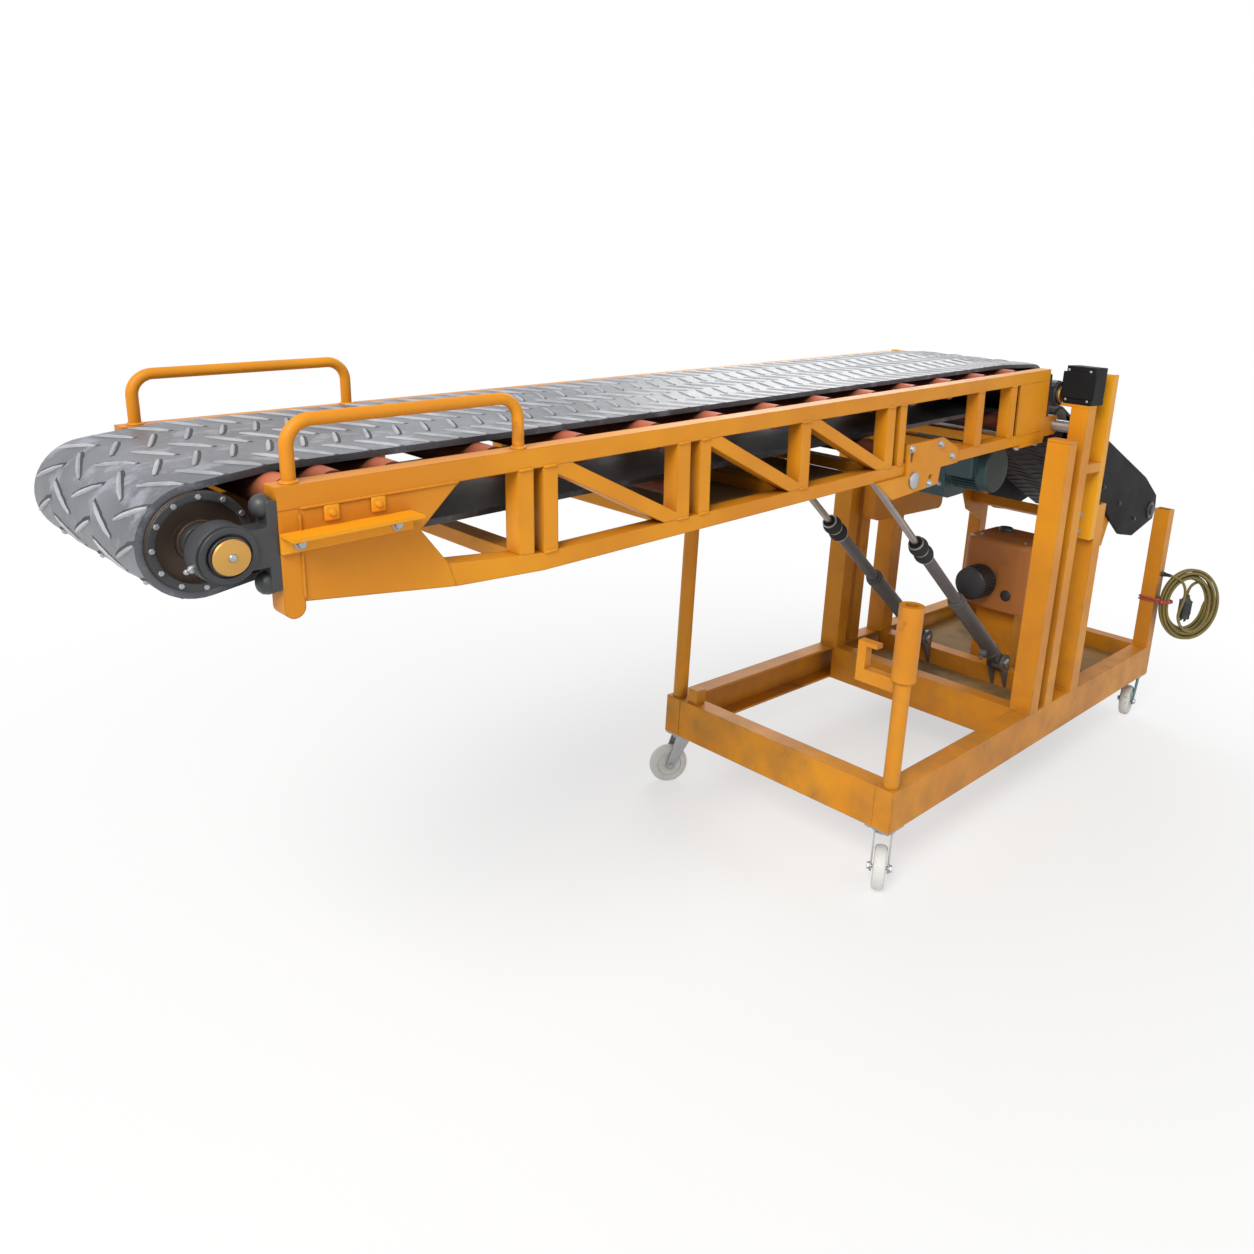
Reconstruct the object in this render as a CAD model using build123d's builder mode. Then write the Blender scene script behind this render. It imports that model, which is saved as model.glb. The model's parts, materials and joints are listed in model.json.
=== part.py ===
# Folding belt conveyor on a rolling base: a trussed boom lifted by two cylinders, with a feed section that folds.
# +X runs from the discharge head to the feed end, +Z is up, the floor is z = 0 and the origin lies under the
# middle of the overall length and width. Sizes are in millimetres.
import os
from math import acos, atan2, cos, hypot, radians, sin

from build123d import *

os.makedirs("parts", exist_ok=True)

# Widths, as half widths from the middle plane
HALF_W = 460.0
POST_W = 80.0
POST_IN = HALF_W - POST_W
PIVOT_SPACE = 50.0
BOOM_HALF_W = POST_IN - PIVOT_SPACE
FRAME_T = 40.0
BOOM_IN = BOOM_HALF_W - FRAME_T
BELT_IN = 60.0
BELT_W = 2 * (BOOM_IN - BELT_IN)

# Belts, drums and fits
BELT_T = 12.0
BELT_GAP = 0.3
DRUM_R = 79.0
DRUM_RIM = 5.0
DRUM_LEN = BELT_W + 2 * DRUM_RIM
SHAFT_R = 20.0
LOOP_R = DRUM_R + BELT_GAP + BELT_T
RUN_GAP = 0.05

# Boom: s runs along the boom from the head, n is square to it from the top edge of the side frames
PITCH = 3.49
CP = cos(radians(PITCH))
SP = sin(radians(PITCH))
BOOM_LEN = 2664.0
BOOM_DEPTH = 240.0
TOP_CHORD = 38.0
BOTTOM_CHORD = 35.0
WEB_TOP = -TOP_CHORD
WEB_LOW = BOTTOM_CHORD - BOOM_DEPTH
DRUM_OUT = 77.0
DRUM_N = -90.0
HEAD_Z = 1345.0
TAIL_S = BOOM_LEN + DRUM_OUT

# Boom pivot behind the tail plates
PIVOT_S = BOOM_LEN + 71.0
PIVOT_N = -198.0
PIVOT_R = 20.0
PIVOT_EYE_R = 34.0

# Feed section: s runs down the section from its fold axis, n is square to it
FEED_PITCH = 23.6
FC = cos(radians(FEED_PITCH))
FS = sin(radians(FEED_PITCH))
FEED_LEN = 1045.0
FEED_DRUM_R = 60.0
FEED_LOOP_R = FEED_DRUM_R + BELT_GAP + BELT_T
FEED_BACK = 268.0
FEED_Z = 1285.0
FEED_HALF_W = BOOM_HALF_W - 30.0
PANEL_T = 15.0
FEED_IN = FEED_HALF_W - PANEL_T
FEED_PIN_R = 16.0

# Overall length, from the front of the belt at the head to the rear of the feed panels
PANEL_END = 66.0
PIVOT_RUN = PIVOT_S * CP - PIVOT_N * SP
HEAD_RUN = LOOP_R + DRUM_OUT * CP + DRUM_N * SP
FEED_RUN = FEED_BACK + (FEED_LEN + PANEL_END) * FC + 30.0 * FS
HALF_LEN = (HEAD_RUN + PIVOT_RUN + FEED_RUN) / 2
HEAD_X = HEAD_RUN - HALF_LEN
PIVOT_X = HEAD_X + PIVOT_RUN
PIVOT_Z = HEAD_Z + PIVOT_S * SP + PIVOT_N * CP
FEED_X = PIVOT_X + FEED_BACK

BOOM = Plane(origin=(HEAD_X, 0, HEAD_Z), x_dir=(CP, 0, SP), z_dir=(-SP, 0, CP))
SIDE = Plane(origin=(HEAD_X, 0, HEAD_Z), x_dir=(CP, 0, SP), z_dir=(0, -1, 0))
BOOM_SIDES = (SIDE.offset(BOOM_IN), SIDE.offset(-BOOM_HALF_W))
FEED_SIDE = Plane(origin=(FEED_X, 0, FEED_Z), x_dir=(FC, 0, -FS), z_dir=(0, -1, 0))

# Head plate outline, with the notch before the first truss bay
PLATE_T = 8.0
PLATE_SIDES = (SIDE.offset(BOOM_HALF_W - PLATE_T), SIDE.offset(-BOOM_HALF_W))
END_POST = 34.0
HEAD_LOW = -196.0
CHORD_START = 300.0
CHORD_TIP = -181.0
CHORD_KNEE = 500.0
HEAD_OUTLINE = (
    (END_POST, WEB_TOP),
    (320, WEB_TOP),
    (241, -111),
    (293, CHORD_TIP),
    (308, -227),
    (END_POST, -188),
)
TAIL_PLATE = 214.0

# Truss verticals, as start (share of the boom's length) and width
VERTICALS = (
    (0.1670, 35),
    (0.1884, 35),
    (0.3228, 40),
    (0.3491, 35),
    (0.4835, 40),
    (0.6261, 40),
    (0.6502, 33),
    (0.8146, 40),
    (0.8964, 40),
)
# Bays with a diagonal, as numbers of the verticals before and after
DIAGONAL_BAYS = ((1, 2), (3, 4), (4, 5))
DIAGONAL_W = 32.0

# Rod eye of the lift cylinders and the lug plates that carry it, measured from the eye
EYE_S = 0.6802 * BOOM_LEN
EYE_N = -258.0
EYE_SHAFT_R = 14.0
LUG_T = 8.0
LUG_OUTLINE = (
    (-37, 106),
    (155, 106),
    (248, 63),
    (248, 18),
    (150, 18),
    (140, -32),
    (-100, -42),
    (-187, 18),
    (-37, 18),
)
LUG_HOLE = (95, -4)
LUG_HOLE_R = 9.0
LUG_SLOT = (-16, 72)

# Idler rollers under the carrying run and under the return run
IDLER_R = 30.0
IDLER_N = -28.0
IDLER_LEN = 2 * BOOM_IN - 20.0
AXLE_R = 10.0
HEAD_IDLERS = (40, 117, 224)
IDLER_FIRST = 428.0
IDLER_LAST = BOOM_LEN - 166.0
IDLER_COUNT = 11
IDLER_PITCH = (IDLER_LAST - IDLER_FIRST) / (IDLER_COUNT - 1)
IDLER_S = [*HEAD_IDLERS, *(IDLER_FIRST + IDLER_PITCH * i for i in range(IDLER_COUNT))]
RETURN_R = 24.0
RETURN_N = -164.0
RETURN_COUNT = 4
RETURN_FIRST = 210.0
RETURN_PITCH = (BOOM_LEN - 2 * RETURN_FIRST) / (RETURN_COUNT - 1)
RETURN_S = [RETURN_FIRST + RETURN_PITCH * i for i in range(RETURN_COUNT)]

# Cross members of the boom, as shares of its length
CROSS_SHARES = (0.1839, 0.3423, 0.4910, 0.6344, 0.8221, 0.9039)
CROSS_W = 40.0
CROSS_H = 30.0
PAN_T = 4.0
PAN_FROM = 0.3623 * BOOM_LEN
PAN_TO = 0.6261 * BOOM_LEN

# Handles on the top chords
HANDLE_R = 11.0
HANDLE_FROM = 30.0
HANDLE_TO = 461.0
HANDLE_H = 106.0
HANDLE_BEND = 40.0

# Base frame of channels that open inward
BASE_AHEAD = 1028.0
BASE_LEN = 2082.0
BASE_FRONT = PIVOT_X - BASE_AHEAD
BASE_REAR = BASE_FRONT + BASE_LEN
BASE_TOP = 311.0
BEAM_H = 131.0
BEAM_W = 62.0
BEAM_T = 9.0
BASE_LOW = BASE_TOP - BEAM_H
RAIL_IN = HALF_W - BEAM_W

# Tower, placed from the boom pivot
TUBE_WALL = 6.0
FRONT_POST_X = PIVOT_X - 146.0
FRONT_POST_D = 60.0
FRONT_POST_TOP = 1272.0
PIVOT_POST_D = 64.0
PIVOT_POST_W = 62.0
PIVOT_POST_IN = HALF_W - PIVOT_POST_W
PIVOT_POST_TOP = 1386.0
CAP_T = 10.0
CAP_IN = HALF_W - 102.0
CHANNEL_X = PIVOT_X + 148.0
CHANNEL_D = 42.0
CHANNEL_W = 100.0
CHANNEL_T = 8.0
CHANNEL_LOW = 905.0
CHANNEL_TOP = 1500.0
REAR_POST_X = CHANNEL_X + CHANNEL_D
REAR_POST_D = 70.0
REAR_POST_TOP = 1030.0
TAB_Z = 1175.0
TAB_H = 34.0

# Lift cylinders, from the base pivot before the rear cross beam to the rod eye under the boom
CYL_Y = 0.6 * BOOM_IN
CYL_BASE_X = PIVOT_X + 160.0
CYL_BASE_Z = 354.0
EYE_X = HEAD_X + EYE_S * CP - EYE_N * SP
EYE_Z = HEAD_Z + EYE_S * SP + EYE_N * CP
CYL_PIN_R = 13.0
EYE_R = 30.0
EYE_W = 36.0
EYE_PLAY = 3.4

# Casters, as trailing direction in degrees
WHEEL_R = 65.0
WHEEL_W = 38.0
TRAIL = 46.0
CASTER_IN = 44.0
CASTER_Y = HALF_W - CASTER_IN
CASTERS = {
    "near_front": (BASE_FRONT + CASTER_IN, -CASTER_Y, 210.0),
    "far_front": (BASE_FRONT + CASTER_IN, CASTER_Y, 150.0),
    "near_rear": (BASE_REAR - CASTER_IN, -CASTER_Y, 188.0),
    "far_rear": (BASE_REAR - CASTER_IN, CASTER_Y, 172.0),
}


def touch_point(centre, radius, point, way):
    """Point where a line from an outside point touches a circle, on the left (+1) or right (-1) of the way out."""
    run = point[0] - centre[0]
    rise = point[1] - centre[1]
    turn = atan2(rise, run) + way * acos(radius / hypot(run, rise))
    return (centre[0] + radius * cos(turn), centre[1] + radius * sin(turn))


# Side frames of the boom
with BuildPart() as boom_top_chords:
    for side in BOOM_SIDES:
        with BuildSketch(side):
            with Locations((BOOM_LEN / 2, -TOP_CHORD / 2)):
                Rectangle(BOOM_LEN, TOP_CHORD)
        extrude(amount=FRAME_T)
boom_top_chords.part.label = "boom_top_chords"
export_step(boom_top_chords.part, "parts/boom_top_chords.step")

with BuildPart() as boom_bottom_chords:
    for side in BOOM_SIDES:
        with BuildSketch(side):
            Polygon(
                (293, CHORD_TIP),
                (CHORD_KNEE, WEB_LOW),
                (BOOM_LEN, WEB_LOW),
                (BOOM_LEN, -BOOM_DEPTH),
                (CHORD_KNEE, -BOOM_DEPTH),
                (308, -227),
                align=None,
            )
        extrude(amount=FRAME_T)
boom_bottom_chords.part.label = "boom_bottom_chords"
export_step(boom_bottom_chords.part, "parts/boom_bottom_chords.step")

BAY_EDGES = [(share * BOOM_LEN, share * BOOM_LEN + width) for share, width in VERTICALS]
CHORD_RISE = (WEB_LOW - CHORD_TIP) / (CHORD_KNEE - 293)
with BuildPart() as boom_web:
    for side in BOOM_SIDES:
        with BuildSketch(side):
            for start, end in BAY_EDGES:
                foot_start = CHORD_TIP + min(start - 293, CHORD_KNEE - 293) * CHORD_RISE
                foot_end = CHORD_TIP + min(end - 293, CHORD_KNEE - 293) * CHORD_RISE
                Polygon((start, WEB_TOP), (end, WEB_TOP), (end, foot_end), (start, foot_start), align=None)
            for before, after in DIAGONAL_BAYS:
                start = BAY_EDGES[before][1]
                end = BAY_EDGES[after][0]
                run = end - start
                rise = WEB_TOP - WEB_LOW
                along = DIAGONAL_W / 2 * hypot(run, rise) / rise
                across = DIAGONAL_W / 2 * hypot(run, rise) / run
                Polygon(
                    (start, WEB_TOP),
                    (start + along, WEB_TOP),
                    (end, WEB_LOW + across),
                    (end, WEB_LOW),
                    (end - along, WEB_LOW),
                    (start, WEB_TOP - across),
                    align=None,
                )
        extrude(amount=FRAME_T)
boom_web.part.label = "boom_web"
export_step(boom_web.part, "parts/boom_web.step")

# End posts carry the pillow blocks; the head posts end in a rounded foot
with BuildPart() as boom_end_posts:
    for side in BOOM_SIDES:
        with BuildSketch(side):
            with Locations((END_POST / 2, (WEB_TOP + HEAD_LOW) / 2)):
                Rectangle(END_POST, WEB_TOP - HEAD_LOW)
            with Locations((END_POST / 2, HEAD_LOW)):
                Circle(END_POST / 2)
            with Locations((BOOM_LEN - END_POST / 2, (WEB_TOP + WEB_LOW) / 2)):
                Rectangle(END_POST, WEB_TOP - WEB_LOW)
        extrude(amount=FRAME_T)
boom_end_posts.part.label = "boom_end_posts"
export_step(boom_end_posts.part, "parts/boom_end_posts.step")

with BuildPart() as boom_end_plates:
    for side in PLATE_SIDES:
        with BuildSketch(side):
            Polygon(*HEAD_OUTLINE, align=None)
            with Locations((BOOM_LEN - (TAIL_PLATE + END_POST) / 2, (WEB_TOP + WEB_LOW) / 2)):
                Rectangle(TAIL_PLATE - END_POST, WEB_TOP - WEB_LOW)
        extrude(amount=PLATE_T)
boom_end_plates.part.label = "boom_end_plates"
export_step(boom_end_plates.part, "parts/boom_end_plates.step")

# Brackets from the tail posts to the boom pivot
with BuildPart() as boom_pivot_brackets:
    for side in BOOM_SIDES:
        with BuildSketch(side):
            with Locations(((BOOM_LEN + PIVOT_S) / 2, PIVOT_N)):
                Rectangle(PIVOT_S - BOOM_LEN, 2 * PIVOT_EYE_R)
            with Locations((PIVOT_S, PIVOT_N)):
                Circle(PIVOT_EYE_R)
                Circle(PIVOT_R, mode=Mode.SUBTRACT)
        extrude(amount=FRAME_T)
boom_pivot_brackets.part.label = "boom_pivot_brackets"
export_step(boom_pivot_brackets.part, "parts/boom_pivot_brackets.step")

with BuildPart() as boom_lugs:
    for y in (BOOM_HALF_W, -BOOM_HALF_W - LUG_T):
        with BuildSketch(SIDE.offset(y)):
            with Locations((EYE_S, EYE_N)):
                Polygon(*LUG_OUTLINE, align=None)
                Circle(EYE_SHAFT_R, mode=Mode.SUBTRACT)
            with Locations((EYE_S + LUG_SLOT[0], EYE_N + LUG_SLOT[1])):
                SlotCenterToCenter(26, 12, rotation=90, mode=Mode.SUBTRACT)
            with Locations((EYE_S + LUG_HOLE[0], EYE_N + LUG_HOLE[1])):
                Circle(LUG_HOLE_R, mode=Mode.SUBTRACT)
        extrude(amount=LUG_T)
boom_lugs.part.label = "boom_lugs"
export_step(boom_lugs.part, "parts/boom_lugs.step")

with BuildPart() as eye_shaft:
    with BuildSketch(SIDE.offset(-BOOM_HALF_W - LUG_T)):
        with Locations((EYE_S, EYE_N)):
            Circle(EYE_SHAFT_R)
    extrude(amount=2 * (BOOM_HALF_W + LUG_T))
eye_shaft.part.label = "eye_shaft"
export_step(eye_shaft.part, "parts/eye_shaft.step")

with BuildPart(BOOM) as boom_crossbars:
    with Locations(*[(share * BOOM_LEN, 0, -BOOM_DEPTH + PAN_T + CROSS_H / 2) for share in CROSS_SHARES]):
        Box(CROSS_W, 2 * BOOM_IN, CROSS_H)
boom_crossbars.part.label = "boom_crossbars"
export_step(boom_crossbars.part, "parts/boom_crossbars.step")

with BuildPart(BOOM) as boom_pan:
    with Locations(((PAN_FROM + PAN_TO) / 2, 0, -BOOM_DEPTH + PAN_T / 2)):
        Box(PAN_TO - PAN_FROM, 2 * BOOM_IN, PAN_T)
boom_pan.part.label = "boom_pan"
export_step(boom_pan.part, "parts/boom_pan.step")

with BuildPart() as boom_handles:
    for y in (BOOM_HALF_W - FRAME_T / 2, -BOOM_HALF_W + FRAME_T / 2):
        with BuildLine(SIDE.offset(y)) as bow_path:
            FilletPolyline(
                (HANDLE_FROM, 0),
                (HANDLE_FROM, HANDLE_H - HANDLE_R),
                (HANDLE_TO, HANDLE_H - HANDLE_R),
                (HANDLE_TO, 0),
                radius=HANDLE_BEND,
            )
        with BuildSketch(Plane(origin=bow_path.line @ 0, z_dir=bow_path.line % 0)):
            Circle(HANDLE_R)
        sweep(path=bow_path.line)
boom_handles.part.label = "boom_handles"
export_step(boom_handles.part, "parts/boom_handles.step")

# Rollers, drums and belt of the boom
ROLLER_ROWS = (
    ("boom_idlers", IDLER_S, IDLER_N, IDLER_R),
    ("return_idlers", RETURN_S, RETURN_N, RETURN_R),
)
for row_name, places, level, radius in ROLLER_ROWS:
    with BuildPart() as rollers:
        with BuildSketch(SIDE.offset(-IDLER_LEN / 2)):
            with Locations(*[(s, level) for s in places]):
                Circle(radius)
        extrude(amount=IDLER_LEN)
        with BuildSketch(SIDE.offset(-BOOM_IN)):
            with Locations(*[(s, level) for s in places]):
                Circle(AXLE_R)
        extrude(amount=2 * BOOM_IN)
    rollers.part.label = row_name
    export_step(rollers.part, f"parts/{row_name}.step")

# Drums with dished ends on a through shaft
DISH_DEPTH = 14.0
DISH_OUT = DRUM_R - 13.0
DISH_IN = SHAFT_R + 14.0
SHAFT_OUT = BOOM_HALF_W + 12.0
for drum_name, s in (("head_drum", -DRUM_OUT), ("tail_drum", TAIL_S)):
    with BuildPart() as drum:
        with BuildSketch(SIDE.offset(-DRUM_LEN / 2)):
            with Locations((s, DRUM_N)):
                Circle(DRUM_R)
        extrude(amount=DRUM_LEN)
        for y in (DRUM_LEN / 2 - DISH_DEPTH, -DRUM_LEN / 2):
            with BuildSketch(SIDE.offset(y)):
                with Locations((s, DRUM_N)):
                    Circle(DISH_OUT)
                    Circle(DISH_IN, mode=Mode.SUBTRACT)
            extrude(amount=DISH_DEPTH, mode=Mode.SUBTRACT)
        with BuildSketch(SIDE.offset(-SHAFT_OUT)):
            with Locations((s, DRUM_N)):
                Circle(SHAFT_R)
        extrude(amount=2 * SHAFT_OUT)
    drum.part.label = drum_name
    export_step(drum.part, f"parts/{drum_name}.step")

# The belt runs over the idlers and comes back over the return idlers
with BuildPart() as boom_belt:
    for extra, mode in ((BELT_GAP + BELT_T, Mode.ADD), (BELT_GAP, Mode.SUBTRACT)):
        wrap = DRUM_R + extra
        carry_n = IDLER_N + IDLER_R + extra
        return_n = RETURN_N + RETURN_R + 2 * BELT_GAP + BELT_T - extra
        head_top = touch_point((-DRUM_OUT, DRUM_N), wrap, (IDLER_S[0], carry_n), 1)
        head_low = touch_point((-DRUM_OUT, DRUM_N), wrap, (RETURN_S[0], return_n), -1)
        tail_top = touch_point((TAIL_S, DRUM_N), wrap, (IDLER_S[-1], carry_n), -1)
        tail_low = touch_point((TAIL_S, DRUM_N), wrap, (RETURN_S[-1], return_n), 1)
        with BuildSketch(SIDE.offset(-BELT_W / 2)):
            with BuildLine():
                Polyline(head_top, (IDLER_S[0], carry_n), (IDLER_S[-1], carry_n), tail_top)
                ThreePointArc(tail_top, (TAIL_S + wrap, DRUM_N), tail_low)
                Polyline(tail_low, (RETURN_S[-1], return_n), (RETURN_S[0], return_n), head_low)
                ThreePointArc(head_low, (-DRUM_OUT - wrap, DRUM_N), head_top)
            make_face()
        extrude(amount=BELT_W, mode=mode)
boom_belt.part.label = "boom_belt"
export_step(boom_belt.part, "parts/boom_belt.step")

# Pillow blocks stand on the end posts: a foot with two ears, a round housing and a cap over the shaft
BLOCK_FOOT = 16.0
BLOCK_H = 144.0
BLOCK_R = 46.0
BLOCK_WAIST = 62.0
CAP_R = 25.0
CAP_OUT = 16.0
CAP_WALL = 4.0
with BuildPart() as bearing_blocks:
    for side in BOOM_SIDES:
        for s, face in ((-DRUM_OUT, 0), (TAIL_S, BOOM_LEN)):
            with BuildSketch(side):
                with Locations((face + (BLOCK_FOOT if face else -BLOCK_FOOT) / 2, DRUM_N)):
                    RectangleRounded(BLOCK_FOOT, BLOCK_H, 5)
                with Locations(((s + face) / 2, DRUM_N)):
                    Rectangle(DRUM_OUT, BLOCK_WAIST)
                with Locations((s, DRUM_N)):
                    Circle(BLOCK_R)
                    Circle(SHAFT_R + RUN_GAP, mode=Mode.SUBTRACT)
            extrude(amount=FRAME_T)
bearing_blocks.part.label = "bearing_blocks"
export_step(bearing_blocks.part, "parts/bearing_blocks.step")

with BuildPart() as shaft_caps:
    for y in (BOOM_HALF_W, -BOOM_HALF_W - CAP_OUT):
        with BuildSketch(SIDE.offset(y)):
            with Locations((-DRUM_OUT, DRUM_N), (TAIL_S, DRUM_N)):
                Circle(CAP_R)
                Circle(SHAFT_R + RUN_GAP, mode=Mode.SUBTRACT)
        extrude(amount=CAP_OUT)
shaft_caps.part.label = "shaft_caps"
export_step(shaft_caps.part, "parts/shaft_caps.step")

# Angle bars on the outer faces of the head plates
ANGLE_T = 6.0
ANGLE_H = 33.0
ANGLE_D = 46.0
ANGLE_FROM = 0.0
ANGLE_TO = 225.0
ANGLE_TOP = -72.0
with BuildPart() as head_angles:
    for way in (-1, 1):
        with BuildSketch(Plane(BOOM.origin, x_dir=(0, way, 0), z_dir=BOOM.x_dir).offset(ANGLE_FROM)):
            with BuildLine():
                Polyline(
                    (BOOM_HALF_W, way * ANGLE_TOP),
                    (BOOM_HALF_W + ANGLE_D, way * ANGLE_TOP),
                    (BOOM_HALF_W + ANGLE_D, way * (ANGLE_TOP - ANGLE_T)),
                    (BOOM_HALF_W + ANGLE_T, way * (ANGLE_TOP - ANGLE_T)),
                    (BOOM_HALF_W + ANGLE_T, way * (ANGLE_TOP - ANGLE_H)),
                    (BOOM_HALF_W, way * (ANGLE_TOP - ANGLE_H)),
                    close=True,
                )
            make_face()
        extrude(amount=ANGLE_TO - ANGLE_FROM)
head_angles.part.label = "head_angles"
export_step(head_angles.part, "parts/head_angles.step")

# Gear motor hung under the tail of the boom: hanger, gearbox and a motor that lies across
GEAR_S = BOOM_LEN - 90.0
GEAR_L = 150.0
GEAR_W = 130.0
GEAR_H = 230.0
GEAR_Y = 10.0
HANGER_T = 12.0
HANGER_L = 170.0
MOTOR_R = 78.0
MOTOR_LEN = 150.0
with BuildPart(BOOM) as motor_hanger:
    with Locations((GEAR_S, 0, -BOOM_DEPTH - HANGER_T / 2)):
        Box(HANGER_L, 2 * BOOM_HALF_W, HANGER_T)
motor_hanger.part.label = "motor_hanger"
export_step(motor_hanger.part, "parts/motor_hanger.step")

with BuildPart(BOOM) as gear_motor:
    with Locations((GEAR_S, GEAR_Y, -BOOM_DEPTH - HANGER_T - GEAR_H / 2)):
        Box(GEAR_L, GEAR_W, GEAR_H)
    fillet(gear_motor.edges().filter_by(Axis.Y).group_by(Axis.Z)[0], 36)
    with BuildSketch(SIDE.offset(-GEAR_Y + GEAR_W / 2)):
        with Locations((GEAR_S, -BOOM_DEPTH - HANGER_T - GEAR_H / 2 + 10)):
            Circle(MOTOR_R)
    extrude(amount=MOTOR_LEN)
gear_motor.part.label = "gear_motor"
export_step(gear_motor.part, "parts/gear_motor.step")

# Base frame: side rails of channel, cross beams between them and a floor plate behind the front bay
with BuildPart() as base_rails:
    for way in (-1, 1):
        with BuildSketch(Plane.YZ.offset(BASE_FRONT)):
            with Locations((way * (HALF_W - BEAM_W / 2), BASE_TOP - BEAM_H / 2)):
                Rectangle(BEAM_W, BEAM_H)
            with Locations((way * (HALF_W - BEAM_W / 2 - BEAM_T), BASE_TOP - BEAM_H / 2)):
                Rectangle(BEAM_W, BEAM_H - 2 * BEAM_T, mode=Mode.SUBTRACT)
        extrude(amount=BASE_LEN)
base_rails.part.label = "base_rails"
export_step(base_rails.part, "parts/base_rails.step")

# The front beam carries a short stub near its far end
CROSSBEAM_X = (BASE_FRONT, FRONT_POST_X, REAR_POST_X, BASE_REAR - BEAM_W)
STUB_W = 40.0
STUB_H = 48.0
STUB_IN = 107.0
with BuildPart() as base_crossbeams:
    with Locations(*[(x + BEAM_W / 2, 0, BASE_TOP - BEAM_H / 2) for x in CROSSBEAM_X]):
        Box(BEAM_W, 2 * RAIL_IN, BEAM_H)
    with Locations((BASE_FRONT + BEAM_W / 2, HALF_W - STUB_IN, BASE_TOP + STUB_H / 2)):
        Box(STUB_W, STUB_W, STUB_H)
base_crossbeams.part.label = "base_crossbeams"
export_step(base_crossbeams.part, "parts/base_crossbeams.step")

FLOOR_T = 6.0
FLOOR_DROP = 70.0
FLOOR_TOP = BASE_TOP - FLOOR_DROP + FLOOR_T / 2
with BuildPart() as base_floor:
    for start, end in ((FRONT_POST_X + BEAM_W, REAR_POST_X), (REAR_POST_X + BEAM_W, BASE_REAR - BEAM_W)):
        with Locations(((start + end) / 2, 0, BASE_TOP - FLOOR_DROP)):
            Box(end - start, 2 * RAIL_IN, FLOOR_T)
base_floor.part.label = "base_floor"
export_step(base_floor.part, "parts/base_floor.step")

# Tower posts, square tube that stands on the rails
POSTS = (
    ("front_posts", FRONT_POST_X, FRONT_POST_D, POST_W, FRONT_POST_TOP),
    ("pivot_posts", PIVOT_X - PIVOT_POST_D / 2, PIVOT_POST_D, PIVOT_POST_W, PIVOT_POST_TOP),
    ("rear_posts", REAR_POST_X, REAR_POST_D, POST_W, REAR_POST_TOP),
    ("rear_corner_posts", BASE_REAR - BEAM_W, BEAM_W, BEAM_W, 920.0),
)
for post_name, x, depth, width, top in POSTS:
    with BuildPart() as posts:
        for way in (-1, 1):
            with BuildSketch(Plane.XY.offset(BASE_TOP)):
                with Locations((x + depth / 2, way * (HALF_W - width / 2))):
                    Rectangle(depth, width)
                    Rectangle(depth - 2 * TUBE_WALL, width - 2 * TUBE_WALL, mode=Mode.SUBTRACT)
            extrude(amount=top - BASE_TOP)
    posts.part.label = post_name
    export_step(posts.part, f"parts/{post_name}.step")

with BuildPart() as post_caps:
    for way in (-1, 1):
        with Locations((PIVOT_X, way * (HALF_W + CAP_IN) / 2, PIVOT_POST_TOP + CAP_T / 2)):
            Box(PIVOT_POST_D, HALF_W - CAP_IN, CAP_T)
        with Locations((FRONT_POST_X, way * (HALF_W - POST_W / 2), FRONT_POST_TOP + CAP_T / 2)):
            Box(FRONT_POST_D, POST_W, CAP_T, align=(Align.MIN, Align.CENTER, Align.CENTER))
post_caps.part.label = "post_caps"
export_step(post_caps.part, "parts/post_caps.step")

with BuildPart() as side_channels:
    for way in (-1, 1):
        with BuildSketch(Plane.XY.offset(CHANNEL_LOW)):
            with Locations((CHANNEL_X + CHANNEL_D / 2, way * (HALF_W - CHANNEL_W / 2))):
                Rectangle(CHANNEL_D, CHANNEL_W)
            with Locations((CHANNEL_X + CHANNEL_D / 2 + CHANNEL_T, way * (HALF_W - CHANNEL_W / 2))):
                Rectangle(CHANNEL_D, CHANNEL_W - 2 * CHANNEL_T, mode=Mode.SUBTRACT)
        extrude(amount=CHANNEL_TOP - CHANNEL_LOW)
side_channels.part.label = "side_channels"
export_step(side_channels.part, "parts/side_channels.step")

TAB_FROM = PIVOT_X + PIVOT_POST_D / 2
with BuildPart() as channel_tabs:
    for way in (-1, 1):
        with Locations(((TAB_FROM + CHANNEL_X) / 2, way * (HALF_W - PIVOT_POST_W / 2), TAB_Z)):
            Box(CHANNEL_X - TAB_FROM, PIVOT_POST_W, TAB_H)
channel_tabs.part.label = "channel_tabs"
export_step(channel_tabs.part, "parts/channel_tabs.step")

# Lug plates on the rear posts carry the fold axis of the feed section
FEED_LUG_T = 12.0
FEED_LUG_R = 40.0
LUG_FOOT_LOW = REAR_POST_TOP - 130.0
with BuildPart() as feed_lugs:
    for y in (POST_IN - FEED_LUG_T, -POST_IN):
        with BuildSketch(Plane.XZ.offset(y)):
            Polygon(
                (REAR_POST_X + 6, LUG_FOOT_LOW),
                (REAR_POST_X + REAR_POST_D, LUG_FOOT_LOW),
                (FEED_X + FEED_LUG_R, FEED_Z),
                (FEED_X - FEED_LUG_R, FEED_Z),
                align=None,
            )
            with Locations((FEED_X, FEED_Z)):
                Circle(FEED_LUG_R)
                Circle(FEED_PIN_R, mode=Mode.SUBTRACT)
        extrude(amount=FEED_LUG_T)
feed_lugs.part.label = "feed_lugs"
export_step(feed_lugs.part, "parts/feed_lugs.step")

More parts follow.
